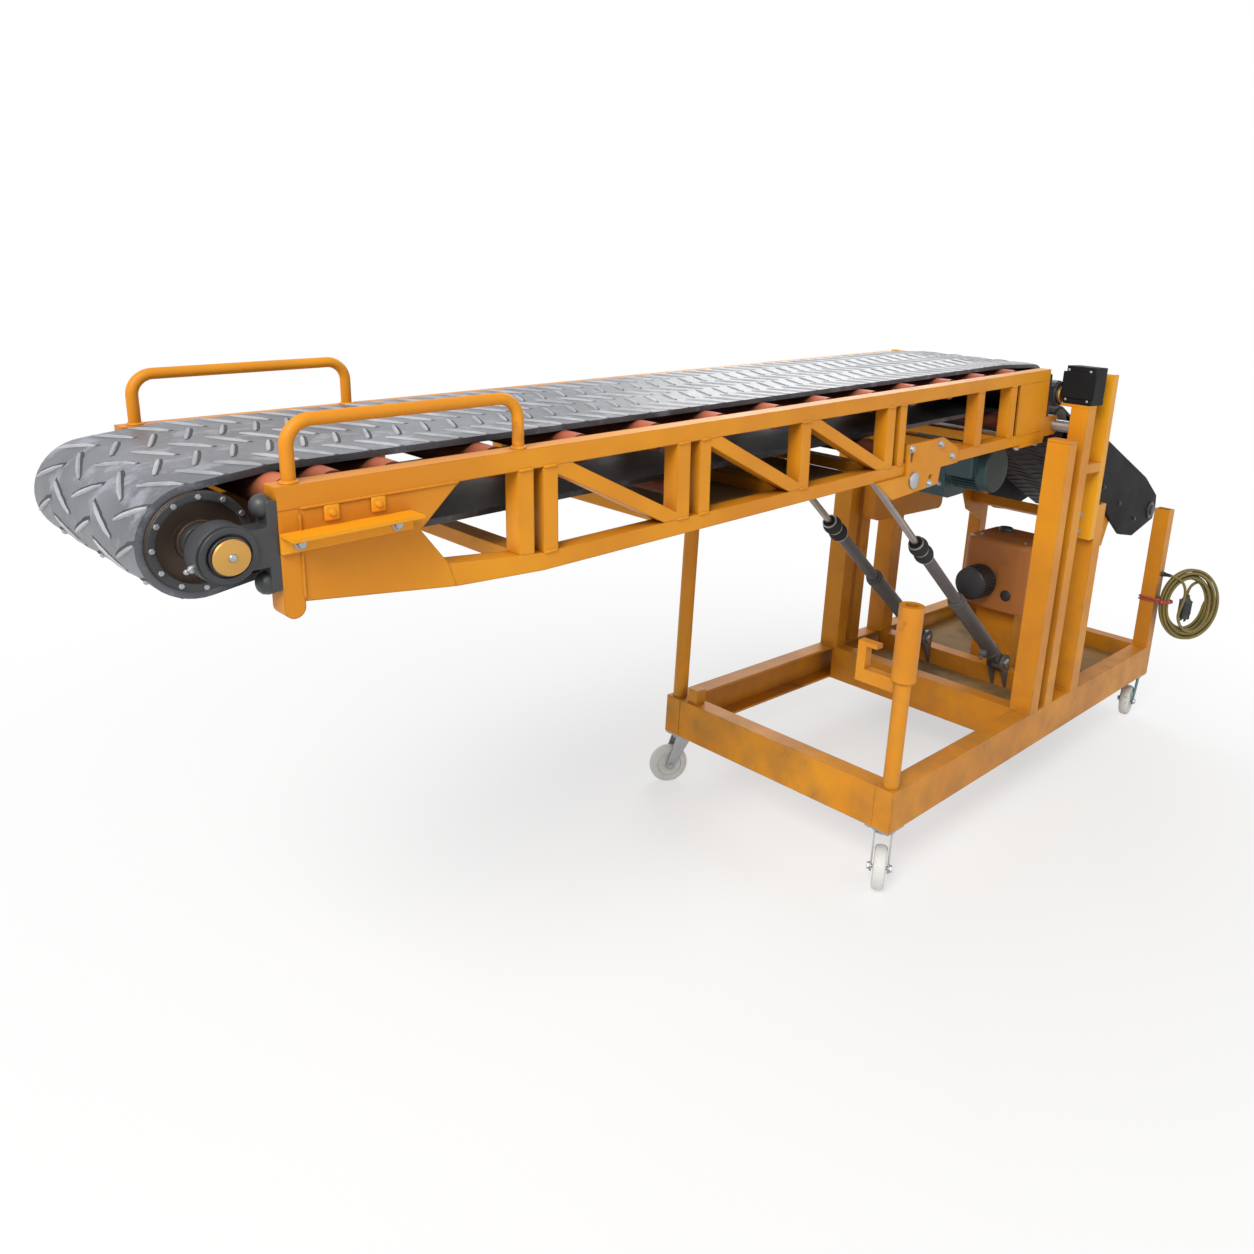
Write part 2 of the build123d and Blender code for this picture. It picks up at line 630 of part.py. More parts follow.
# Switch box on the cap plate of the near pivot post
SWITCH_LEN = 110.0
SWITCH_H = 128.0
with BuildPart() as switch_box:
    with Locations((PIVOT_X - 24, -(HALF_W + CAP_IN) / 2, PIVOT_POST_TOP + CAP_T)):
        Box(SWITCH_LEN, HALF_W - CAP_IN, SWITCH_H, align=(Align.MIN, Align.CENTER, Align.MIN))
    fillet(switch_box.edges().filter_by(Axis.Z), 8)
switch_box.part.label = "switch_box"
export_step(switch_box.part, "parts/switch_box.step")

# Long shallow box on the inner side of the far channel
BOX_FROM = PIVOT_X - 92.0
BOX_LEN = 520.0
BOX_LOW = 845.0
BOX_H = 145.0
BOX_D = 58.0
BOX_CORNER = 30.0
CHANNEL_IN = HALF_W - CHANNEL_W
with BuildPart() as far_side_box:
    with Locations((BOX_FROM + BOX_LEN / 2, CHANNEL_IN - BOX_D / 2, BOX_LOW + BOX_H / 2)):
        Box(BOX_LEN, BOX_D, BOX_H)
    fillet(far_side_box.edges().filter_by(Axis.Y).group_by(Axis.Z)[0], BOX_CORNER)
far_side_box.part.label = "far_side_box"
export_step(far_side_box.part, "parts/far_side_box.step")

# Round posts at the front corners, the near one with a sleeve and a lever
TUBE_R = 24.5
TUBE_X = BASE_FRONT + BEAM_W / 2
TUBE_Y = HALF_W - BEAM_W / 2
NEAR_TUBE_TOP = 640.0
FAR_TUBE_TOP = 905.0
SLEEVE_R = 36.0
SLEEVE_TOP = 864.0
with BuildPart() as corner_tubes:
    for y, top in ((-TUBE_Y, NEAR_TUBE_TOP), (TUBE_Y, FAR_TUBE_TOP)):
        with BuildSketch(Plane.XY.offset(BASE_TOP)):
            with Locations((TUBE_X, y)):
                Circle(TUBE_R)
                Circle(TUBE_R - TUBE_WALL / 2, mode=Mode.SUBTRACT)
        extrude(amount=top - BASE_TOP)
corner_tubes.part.label = "corner_tubes"
export_step(corner_tubes.part, "parts/corner_tubes.step")

# Sleeve on the near tube with a lever: an arm, an upright and a tab that turns back
LEVER_W = 30.0
LEVER_ARM_H = 42.0
LEVER_LOW = NEAR_TUBE_TOP - LEVER_ARM_H
LEVER_END = -TUBE_Y + 154.0
LEVER_TOP = 722.0
LEVER_TAB = 66.0
LEVER_TAB_T = 14.0
with BuildPart() as corner_sleeve:
    with BuildSketch(Plane.YZ.offset(TUBE_X - LEVER_W / 2)):
        Polygon(
            (-TUBE_Y, LEVER_LOW),
            (LEVER_END, LEVER_LOW),
            (LEVER_END, LEVER_TOP),
            (LEVER_END - LEVER_TAB, LEVER_TOP),
            (LEVER_END - LEVER_TAB, LEVER_TOP - LEVER_TAB_T),
            (LEVER_END - LEVER_W, LEVER_TOP - LEVER_TAB_T),
            (LEVER_END - LEVER_W, NEAR_TUBE_TOP),
            (-TUBE_Y, NEAR_TUBE_TOP),
            align=None,
        )
    extrude(amount=LEVER_W)
    with BuildSketch(Plane.XY.offset(LEVER_LOW)):
        with Locations((TUBE_X, -TUBE_Y)):
            Circle(TUBE_R)
    extrude(amount=LEVER_ARM_H, mode=Mode.SUBTRACT)
    with BuildSketch(Plane.XY.offset(NEAR_TUBE_TOP)):
        with Locations((TUBE_X, -TUBE_Y)):
            Circle(SLEEVE_R)
            Circle(SLEEVE_R - 3 * TUBE_WALL, mode=Mode.SUBTRACT)
    extrude(amount=SLEEVE_TOP - NEAR_TUBE_TOP)
corner_sleeve.part.label = "corner_sleeve"
export_step(corner_sleeve.part, "parts/corner_sleeve.step")

# Power unit on a stand behind the rear cross beam
UNIT_X = PIVOT_X + 455.0
UNIT_Y = -30.0
UNIT_LEN = 300.0
UNIT_W = 290.0
UNIT_LOW = 505.0
UNIT_TOP = 788.0
UNIT_CORNER = 50.0
STAND_LEN = 150.0
STAND_W = 170.0
with BuildPart() as power_unit:
    with BuildSketch(Plane.XY.offset(UNIT_LOW)):
        with Locations((UNIT_X, UNIT_Y)):
            RectangleRounded(UNIT_LEN, UNIT_W, UNIT_CORNER)
    extrude(amount=UNIT_TOP - UNIT_LOW)
    fillet(power_unit.faces().sort_by(Axis.Z)[-1].edges(), 22)
power_unit.part.label = "power_unit"
export_step(power_unit.part, "parts/power_unit.step")

with BuildPart() as unit_stand:
    with BuildSketch(Plane.XY.offset(FLOOR_TOP)):
        with Locations((UNIT_X, UNIT_Y)):
            Rectangle(STAND_LEN, STAND_W)
            Rectangle(STAND_LEN - 2 * TUBE_WALL, STAND_W - 2 * TUBE_WALL, mode=Mode.SUBTRACT)
    extrude(amount=UNIT_LOW - FLOOR_TOP)
unit_stand.part.label = "unit_stand"
export_step(unit_stand.part, "parts/unit_stand.step")

UNIT_MOTOR_R = 62.0
UNIT_MOTOR_LEN = 95.0
with BuildPart() as unit_motor:
    with BuildSketch(Plane.YZ.offset(UNIT_X - UNIT_LEN / 2 - UNIT_MOTOR_LEN)):
        with Locations((UNIT_Y + 40, UNIT_LOW + 110)):
            Circle(UNIT_MOTOR_R)
    extrude(amount=UNIT_MOTOR_LEN)
unit_motor.part.label = "unit_motor"
export_step(unit_motor.part, "parts/unit_motor.step")

# Lift cylinders
CYL_DX = EYE_X - CYL_BASE_X
CYL_DZ = EYE_Z - CYL_BASE_Z
CYL_LEN = hypot(CYL_DX, CYL_DZ)
CYL_DIR = (CYL_DX / CYL_LEN, 0, CYL_DZ / CYL_LEN)
BARREL_R = 29.0
BARREL_LEN = 0.38 * CYL_LEN
BARREL_FOOT = 74.0
STAGE_R = 21.0
STAGE_LEN = 0.612 * CYL_LEN
ROD_R = 12.0
ROD_IN = 0.41 * CYL_LEN
BORE_IN = 0.34 * CYL_LEN
COLLAR = 16.0
CYL_MID = Plane(origin=(CYL_BASE_X, 0, CYL_BASE_Z), x_dir=(0, 1, 0), z_dir=CYL_DIR)
CYL_AXES = [CYL_MID.shift_origin((CYL_BASE_X, y, CYL_BASE_Z)) for y in (-CYL_Y, CYL_Y)]
with BuildPart() as cylinder_barrels:
    for axis in CYL_AXES:
        with BuildSketch(axis):
            Rectangle(EYE_W, 2 * STAGE_R)
        extrude(amount=BARREL_FOOT)
        with BuildSketch(axis.offset(BARREL_FOOT)):
            Circle(BARREL_R)
        extrude(amount=BARREL_LEN - BARREL_FOOT)
        with BuildSketch(axis.offset(BARREL_LEN - COLLAR)):
            Circle(BARREL_R + 3)
        extrude(amount=COLLAR)
        with BuildSketch(axis.offset(BARREL_LEN)):
            Circle(STAGE_R)
        extrude(amount=STAGE_LEN - BARREL_LEN)
        with BuildSketch(Plane.XZ.offset(-axis.origin.Y - EYE_W / 2)):
            with Locations((CYL_BASE_X, CYL_BASE_Z)):
                Circle(EYE_R)
        extrude(amount=EYE_W)
        with BuildSketch(Plane.XZ.offset(-axis.origin.Y - EYE_W / 2)):
            with Locations((CYL_BASE_X, CYL_BASE_Z)):
                Circle(CYL_PIN_R)
        extrude(amount=EYE_W, mode=Mode.SUBTRACT)
        with BuildSketch(axis.offset(BORE_IN)):
            Circle(ROD_R + RUN_GAP)
        extrude(amount=STAGE_LEN - BORE_IN, mode=Mode.SUBTRACT)
cylinder_barrels.part.label = "cylinder_barrels"
export_step(cylinder_barrels.part, "parts/cylinder_barrels.step")

# Boots at the glands, each of two bulged lobes
BOOT_R = 33.0
BOOT_NECK = 24.0
BOOT_LOBE = 48.0
with BuildPart() as cylinder_boots:
    for axis in CYL_AXES:
        for lobe in range(2):
            foot = STAGE_LEN + lobe * BOOT_LOBE
            with BuildSketch(Plane(axis.origin, x_dir=axis.x_dir, z_dir=-axis.y_dir)):
                with BuildLine():
                    Polyline(
                        (BOOT_NECK, foot + BOOT_LOBE),
                        (ROD_R + 1, foot + BOOT_LOBE),
                        (ROD_R + 1, foot),
                        (BOOT_NECK, foot),
                    )
                    ThreePointArc(
                        (BOOT_NECK, foot),
                        (BOOT_R, foot + BOOT_LOBE / 2),
                        (BOOT_NECK, foot + BOOT_LOBE),
                    )
                make_face()
            revolve(axis=Axis(axis.origin, axis.z_dir))
cylinder_boots.part.label = "cylinder_boots"
export_step(cylinder_boots.part, "parts/cylinder_boots.step")

with BuildPart() as cylinder_rods:
    for axis in CYL_AXES:
        with BuildSketch(axis.offset(ROD_IN)):
            Circle(ROD_R)
        extrude(amount=CYL_LEN - ROD_IN)
        with BuildSketch(Plane.XZ.offset(-axis.origin.Y - EYE_W / 2)):
            with Locations((EYE_X, EYE_Z)):
                Circle(EYE_R)
        extrude(amount=EYE_W)
        with BuildSketch(Plane.XZ.offset(-axis.origin.Y - EYE_W / 2)):
            with Locations((EYE_X, EYE_Z)):
                Circle(EYE_SHAFT_R + EYE_PLAY)
        extrude(amount=EYE_W, mode=Mode.SUBTRACT)
cylinder_rods.part.label = "cylinder_rods"
export_step(cylinder_rods.part, "parts/cylinder_rods.step")

# Clevis cheeks on the rear cross beam
CLEVIS_T = 12.0
CLEVIS_R = 34.0
CLEVIS_GAP = 3.0
CLEVIS_OUT = EYE_W / 2 + CLEVIS_GAP + CLEVIS_T
with BuildPart() as cylinder_brackets:
    for axis in CYL_AXES:
        for inner in (EYE_W / 2 + CLEVIS_GAP, -CLEVIS_OUT):
            with BuildSketch(Plane.XZ.offset(-axis.origin.Y + inner)):
                Polygon(
                    (REAR_POST_X, FLOOR_TOP),
                    (REAR_POST_X, BASE_TOP),
                    (CYL_BASE_X + CLEVIS_R, CYL_BASE_Z),
                    (CYL_BASE_X - CLEVIS_R, CYL_BASE_Z),
                    align=None,
                )
                with Locations((CYL_BASE_X, CYL_BASE_Z)):
                    Circle(CLEVIS_R)
                    Circle(CYL_PIN_R, mode=Mode.SUBTRACT)
            extrude(amount=CLEVIS_T)
cylinder_brackets.part.label = "cylinder_brackets"
export_step(cylinder_brackets.part, "parts/cylinder_brackets.step")

# Hinge pins fixed in the tower and the base: boom pivot, feed fold and the feet of the cylinders
with BuildPart() as hinge_pins:
    for y in (BOOM_IN, -PIVOT_POST_IN):
        with BuildSketch(SIDE.offset(y)):
            with Locations((PIVOT_S, PIVOT_N)):
                Circle(PIVOT_R - RUN_GAP)
        extrude(amount=PIVOT_POST_IN - BOOM_IN)
    for y in (FEED_IN, -POST_IN):
        with BuildSketch(FEED_SIDE.offset(y)):
            Circle(FEED_PIN_R - RUN_GAP)
        extrude(amount=POST_IN - FEED_IN)
    for axis in CYL_AXES:
        with BuildSketch(Plane.XZ.offset(-axis.origin.Y - CLEVIS_OUT)):
            with Locations((CYL_BASE_X, CYL_BASE_Z)):
                Circle(CYL_PIN_R - RUN_GAP)
        extrude(amount=2 * CLEVIS_OUT)
hinge_pins.part.label = "hinge_pins"
export_step(hinge_pins.part, "parts/hinge_pins.step")

# Feed section: side panels that stand above the belt and round off at the rear
PANEL_OUTLINE = (
    (-46, 20),
    (-20, 62),
    (0.425 * FEED_LEN, 80),
    (0.84 * FEED_LEN, 100),
    (FEED_LEN + 30, 80),
    (FEED_LEN + PANEL_END, 30),
    (FEED_LEN + PANEL_END, -20),
    (0.88 * FEED_LEN, -159),
    (0.745 * FEED_LEN, -195),
    (0.527 * FEED_LEN, -166),
    (0.3 * FEED_LEN, -130),
    (40, -72),
    (-46, -30),
)
with BuildPart() as feed_panels:
    for y in (FEED_IN, -FEED_HALF_W):
        with BuildSketch(FEED_SIDE.offset(y)) as panel:
            Polygon(*PANEL_OUTLINE, align=None)
            fillet(panel.vertices(), 14)
            Circle(FEED_PIN_R, mode=Mode.SUBTRACT)
        extrude(amount=PANEL_T)
feed_panels.part.label = "feed_panels"
export_step(feed_panels.part, "parts/feed_panels.step")

with BuildPart() as feed_drums:
    with BuildSketch(FEED_SIDE.offset(-DRUM_LEN / 2)):
        with Locations((0, 0), (FEED_LEN, 0)):
            Circle(FEED_DRUM_R)
    extrude(amount=DRUM_LEN)
    with BuildSketch(FEED_SIDE.offset(-FEED_IN)):
        with Locations((0, 0), (FEED_LEN, 0)):
            Circle(SHAFT_R)
    extrude(amount=2 * FEED_IN)
feed_drums.part.label = "feed_drums"
export_step(feed_drums.part, "parts/feed_drums.step")

with BuildPart() as feed_belt:
    for extra, mode in ((BELT_GAP + BELT_T, Mode.ADD), (BELT_GAP, Mode.SUBTRACT)):
        with BuildSketch(FEED_SIDE.offset(-BELT_W / 2)):
            with Locations((0, 0), (FEED_LEN, 0)):
                Circle(FEED_DRUM_R + extra)
            make_hull()
        extrude(amount=BELT_W, mode=mode)
feed_belt.part.label = "feed_belt"
export_step(feed_belt.part, "parts/feed_belt.step")

# Frame plates under the feed panels, tied by a cross bar
EDGE_T = 8.0
EDGE_FROM = 0.39 * FEED_LEN
EDGE_TO = 0.62 * FEED_LEN
EDGE_LOW = -286.0
EDGE_TOP = -120.0
TIE_S = (EDGE_FROM + EDGE_TO) / 2
TIE_N = -220.0
TIE_W = 40.0
with BuildPart() as feed_edges:
    for y in (FEED_IN - EDGE_T, -FEED_IN):
        with BuildSketch(FEED_SIDE.offset(y)):
            Polygon(
                (EDGE_FROM, EDGE_TOP),
                (EDGE_TO, EDGE_TOP),
                (EDGE_TO, EDGE_LOW),
                (EDGE_FROM + 90, EDGE_LOW),
                (EDGE_FROM, TIE_N),
                align=None,
            )
        extrude(amount=EDGE_T)
    with BuildSketch(FEED_SIDE.offset(-FEED_IN + EDGE_T)):
        with Locations((TIE_S, TIE_N)):
            Rectangle(TIE_W, TIE_W)
    extrude(amount=2 * (FEED_IN - EDGE_T))
feed_edges.part.label = "feed_edges"
export_step(feed_edges.part, "parts/feed_edges.step")

# Cable gathered in a hank that is tied to the near rear corner post, its plug tucked inside
HANK_R = 28.0
HANK_HALF_W = 100.0
HANK_DROP = 60.0
HANK_Z = 550.0
HANK_TURN = radians(45)
HANK_FACE = Plane(
    origin=(
        BASE_REAR - BEAM_W / 2 + HANK_HALF_W * cos(HANK_TURN),
        -HALF_W - HANK_R - HANK_HALF_W * sin(HANK_TURN),
        HANK_Z,
    ),
    x_dir=(cos(HANK_TURN), -sin(HANK_TURN), 0),
    z_dir=(-sin(HANK_TURN), -cos(HANK_TURN), 0),
)
with BuildPart() as cable_hank:
    with BuildLine(HANK_FACE) as loop:
        Line((-HANK_HALF_W, 0), (-HANK_HALF_W, -HANK_DROP))
        ThreePointArc((-HANK_HALF_W, -HANK_DROP), (0, -HANK_DROP - HANK_HALF_W), (HANK_HALF_W, -HANK_DROP))
        Line((HANK_HALF_W, -HANK_DROP), (HANK_HALF_W, 0))
        ThreePointArc((HANK_HALF_W, 0), (0, HANK_HALF_W), (-HANK_HALF_W, 0))
    with BuildSketch(Plane(origin=loop.line @ 0, z_dir=loop.line % 0)):
        Circle(HANK_R)
    sweep(path=loop.line)
cable_hank.part.label = "cable_hank"
export_step(cable_hank.part, "parts/cable_hank.step")

PLUG_R = 24.0
PLUG_LEN = 96.0
PLUG_NECK = 22.0
with BuildPart() as cable_plug:
    with BuildSketch(Plane(HANK_FACE.origin, x_dir=HANK_FACE.x_dir, z_dir=HANK_FACE.z_dir)):
        with BuildLine():
            Polyline(
                (0, -PLUG_LEN),
                (PLUG_R, -PLUG_LEN),
                (PLUG_R, -PLUG_NECK),
                (PLUG_R / 2, 0),
                (0, 0),
                close=True,
            )
        make_face()
    revolve(axis=Axis(HANK_FACE.origin, (0, 0, 1)))
cable_plug.part.label = "cable_plug"
export_step(cable_plug.part, "parts/cable_plug.step")

GLAND_R = 11.0
GLAND_OUT = 12.0
GLAND_Z = HANK_Z + 90.0
with BuildPart() as cable_gland:
    with BuildSketch(Plane.XZ.offset(HALF_W)):
        with Locations((BASE_REAR - BEAM_W / 2, GLAND_Z)):
            RegularPolygon(GLAND_R, 6)
    extrude(amount=GLAND_OUT)
cable_gland.part.label = "cable_gland"
export_step(cable_gland.part, "parts/cable_gland.step")

# Casters
MOUNT_T = 6.0
MOUNT_W = 84.0
SWIVEL_R = 32.0
KING_R = 12.0
KING_LEN = 18.0
FORK_T = 5.0
FORK_GAP = 4.0
SWIVEL_GAP = 1.0
AXLE_PIN_R = 6.0
HUB_R = 20.0
RIM_R = 42.0
DISC_IN = 6.0
MOUNT_LOW = BASE_LOW - MOUNT_T
FORK_TOP = MOUNT_LOW - SWIVEL_GAP
FORK_OUT = WHEEL_W / 2 + FORK_GAP + FORK_T
with BuildPart() as caster_plates:
    for x, y, turn in CASTERS.values():
        with Locations((x, y, MOUNT_LOW + MOUNT_T / 2)):
            Box(MOUNT_W, MOUNT_W, MOUNT_T)
        with Locations((x, y, MOUNT_LOW - KING_LEN / 2)):
            Cylinder(KING_R, KING_LEN)
caster_plates.part.label = "caster_plates"
export_step(caster_plates.part, "parts/caster_plates.step")

for caster, (x, y, turn) in CASTERS.items():
    spot = Plane(origin=(x, y, 0), x_dir=(cos(radians(turn)), sin(radians(turn)), 0), z_dir=(0, 0, 1))
    cheek = Plane(spot.origin, x_dir=spot.x_dir, z_dir=-spot.y_dir)
    with BuildPart(spot) as fork:
        with Locations((0, 0, FORK_TOP - FORK_T)):
            Cylinder(SWIVEL_R, 2 * FORK_T)
            Cylinder(KING_R + RUN_GAP, 2 * FORK_T, mode=Mode.SUBTRACT)
        for inner in (FORK_OUT - FORK_T, -FORK_OUT):
            with BuildSketch(cheek.offset(inner)):
                Polygon(
                    (-SWIVEL_R + 5, FORK_TOP),
                    (SWIVEL_R - 5, FORK_TOP),
                    (TRAIL + 15, WHEEL_R),
                    (TRAIL - 15, WHEEL_R),
                    align=None,
                )
                with Locations((TRAIL, WHEEL_R)):
                    Circle(15)
            extrude(amount=FORK_T)
        with BuildSketch(cheek.offset(-FORK_OUT)):
            with Locations((TRAIL, WHEEL_R)):
                Circle(AXLE_PIN_R)
        extrude(amount=2 * FORK_OUT)
    fork.part.label = f"caster_fork_{caster}"
    export_step(fork.part, f"parts/caster_fork_{caster}.step")
    with BuildPart() as wheel:
        with BuildSketch(cheek.offset(-WHEEL_W / 2)):
            with Locations((TRAIL, WHEEL_R)):
                Circle(WHEEL_R)
                Circle(AXLE_PIN_R + RUN_GAP, mode=Mode.SUBTRACT)
        extrude(amount=WHEEL_W)
        for inner in (WHEEL_W / 2 - DISC_IN, -WHEEL_W / 2):
            with BuildSketch(cheek.offset(inner)):
                with Locations((TRAIL, WHEEL_R)):
                    Circle(RIM_R)
                    Circle(HUB_R, mode=Mode.SUBTRACT)
            extrude(amount=DISC_IN, mode=Mode.SUBTRACT)
    wheel.part.label = f"caster_wheel_{caster}"
    export_step(wheel.part, f"parts/caster_wheel_{caster}.step")
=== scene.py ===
"""Dresses the folding belt conveyor with finishes, fasteners, welds, belt bars, casters and a cable."""

import json
import logging
import math
from dataclasses import dataclass, field
from enum import Enum, IntEnum
from typing import Iterable, Sequence

import bpy
import numpy as np
from mathutils import Matrix, Vector


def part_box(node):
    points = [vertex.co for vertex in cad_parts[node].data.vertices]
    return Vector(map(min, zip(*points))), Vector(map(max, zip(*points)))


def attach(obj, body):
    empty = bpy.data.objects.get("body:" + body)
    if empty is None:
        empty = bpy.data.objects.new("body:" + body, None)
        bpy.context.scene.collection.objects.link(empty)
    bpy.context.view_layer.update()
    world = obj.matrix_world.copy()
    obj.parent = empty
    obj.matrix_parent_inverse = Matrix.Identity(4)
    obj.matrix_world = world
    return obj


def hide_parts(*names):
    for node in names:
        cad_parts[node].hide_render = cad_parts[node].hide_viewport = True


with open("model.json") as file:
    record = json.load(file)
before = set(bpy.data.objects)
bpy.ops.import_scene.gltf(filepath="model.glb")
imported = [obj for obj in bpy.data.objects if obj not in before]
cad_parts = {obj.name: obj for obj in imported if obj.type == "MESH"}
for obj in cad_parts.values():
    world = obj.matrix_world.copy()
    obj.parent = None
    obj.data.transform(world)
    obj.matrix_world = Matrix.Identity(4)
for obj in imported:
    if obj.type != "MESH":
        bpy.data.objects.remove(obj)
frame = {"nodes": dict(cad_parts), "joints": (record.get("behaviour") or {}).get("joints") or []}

LOG = logging.getLogger("conveyor")
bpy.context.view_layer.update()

Point = Sequence[float]
Pair = tuple[float, float]
Pairs = Sequence[Pair]
Profile = Sequence[Pair]
Socket = bpy.types.NodeSocket
Inputs = dict[str | int, object]

UP = (0, 0, 1)
DOWN = (0, 0, -1)
FORWARD = (-1, 0, 0)
STILL = Matrix.Identity(4)
# Brown tone that the low part of the machine darkens towards.
LOW_DARK_TONE = (0.20, 0.13, 0.06)
# Colour of the painted shade in shut-in places.
DEEP_SHADE = (0.012, 0.011, 0.010)
SHINE = "Specular IOR Level"
GRAIN = 0.6
DRIFT_DETAIL = 3.0
RELIEF_DETAIL = 4.0
PATCH_DETAIL = 9.0
DRIFT_RANGE = (0.35, 0.65)
SHARP_EDGE = (0.995, 0.9)
RUBBED_PATCHES = (0.42, 0.6)
# Patches that break up the darkening towards the bottom.
LOW_DARK_PATCHES = (0.3, 0.75)
# Ambient occlusion range over which the painted shade sets in.
PAINTED_SHADE_AO_RANGE = (0.85, 0.35)
GLOSS_SPREAD = (0.1, 0.16)
GLOSS_LIMITS = (0.05, 1.0)
BUMP_STRENGTH = 0.5
EDGE_SAMPLES = 4
# Ambient occlusion samples of the painted shade.
PAINTED_SHADE_SAMPLES = 6


class Body(str, Enum):
    """Bodies of the conveyor that carry new pieces, apart from its casters."""

    CHASSIS = "chassis"
    BOOM = "boom"
    BARRELS = "cylinder_barrels"
    FEED = "feed_section"


class Slot(str, Enum):
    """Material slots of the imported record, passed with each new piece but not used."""

    PAINT = "frame_paint"
    STEEL = "steel"
    ZINC = "zinc"
    IRON = "black_iron"
    RUBBER = "black_rubber"
    BRASS = "brass"
    TEAL = "motor_teal"
    BARREL = "barrel_grey"
    NYLON = "wheel_nylon"
    CABLE = "cable_olive"


class Side(IntEnum):
    """Side of the machine, as the sign of y."""

    NEAR = -1
    FAR = 1


class End(IntEnum):
    """End of the boom, as the sign of the way out of it."""

    HEAD = -1
    TAIL = 1


@dataclass
class NodeSheet:
    """A node tree that is filled node by node.

    Attributes:
        tree: Blender's tree, empty at first.
    """

    tree: bpy.types.NodeTree

    def feed(self, node: bpy.types.Node, inputs: Inputs) -> None:
        """Sets or links inputs of a node.

        Args:
            node: Node that takes them.
            inputs: Value or socket for each input, by the input's name or number.
        """
        for key, value in inputs.items():
            if isinstance(value, Socket):
                self.tree.links.new(value, node.inputs[key])
            else:
                node.inputs[key].default_value = value

    def node(self, kind: str, inputs: Inputs, **settings: object) -> bpy.types.Node:
        """Adds a node.

        Args:
            kind: Type of the node, without Blender's prefix.
            inputs: Value or socket for each input, by the input's name or number.
            settings: Properties of the node itself.

        Returns:
            The new node.
        """
        made = self.tree.nodes.new(f"ShaderNode{kind}")
        for key, value in settings.items():
            setattr(made, key, value)
        self.feed(made, inputs)
        return made

    def add(self, kind: str, inputs: Inputs, out: str, **settings: object) -> Socket:
        """Adds a node and hands back one of its outputs.

        Args:
            kind: Type of the node, without Blender's prefix.
            inputs: Value or socket for each input, by the input's name or number.
            out: Name of the output.
            settings: Properties of the node itself.

        Returns:
            The output's socket.
        """
        return self.node(kind, inputs, **settings).outputs[out]

    def noise(self, place: Socket, scale: float, detail: float) -> Socket:
        """Adds a noise texture.

        Args:
            place: Coordinates.
            scale: Scale per metre.
            detail: Number of finer layers.

        Returns:
            Socket of the noise, 0 to 1.
        """
        inputs = {"Vector": place, "Scale": scale, "Detail": detail, "Roughness": GRAIN}
        return self.add("TexNoise", inputs, "Fac")

    def ramp(self, value: Socket, low: float, high: float, foot: float = 0.0) -> Socket:
        """Eases a value from low to high into foot to 1.

        Args:
            value: Value to ease.
            low: Value that becomes the foot.
            high: Value that becomes 1.
            foot: Lowest result.

        Returns:
            Socket of the result.
        """
        inputs = {"Value": value, "From Min": low, "From Max": high, "To Min": foot}
        return self.add("MapRange", inputs, "Result", interpolation_type="SMOOTHSTEP")

    def span(self, value: Socket, start: float, end: float) -> Socket:
        """Spreads a value from 0 to 1 evenly over another range.

        Args:
            value: Value to spread.
            start: Result at 0.
            end: Result at 1.

        Returns:
            Socket of the result.
        """
        return self.add("MapRange", {"Value": value, "To Min": start, "To Max": end}, "Result")

    def times(self, value: Socket, factor: Socket | float) -> Socket:
        """Multiplies two values and keeps the result within 0 to 1.

        Args:
            value: First value.
            factor: Second value, a socket or a number.

        Returns:
            Socket of the product.
        """
        return self.add("Math", {0: value, 1: factor}, "Value", operation="MULTIPLY", use_clamp=True)

    def mix(self, share: Socket, under: Socket | Point, over: Point) -> Socket:
        """Lays one colour over another.

        Args:
            share: Share of the upper colour.
            under: Lower colour, a socket or a constant.
            over: Upper colour.

        Returns:
            Socket of the mixed colour.
        """
        first = under if isinstance(under, Socket) else (*under, 1.0)
        inputs = {"Factor": share, "A": first, "B": (*over, 1.0)}
        return self.add("Mix", inputs, "Result", data_type="RGBA")


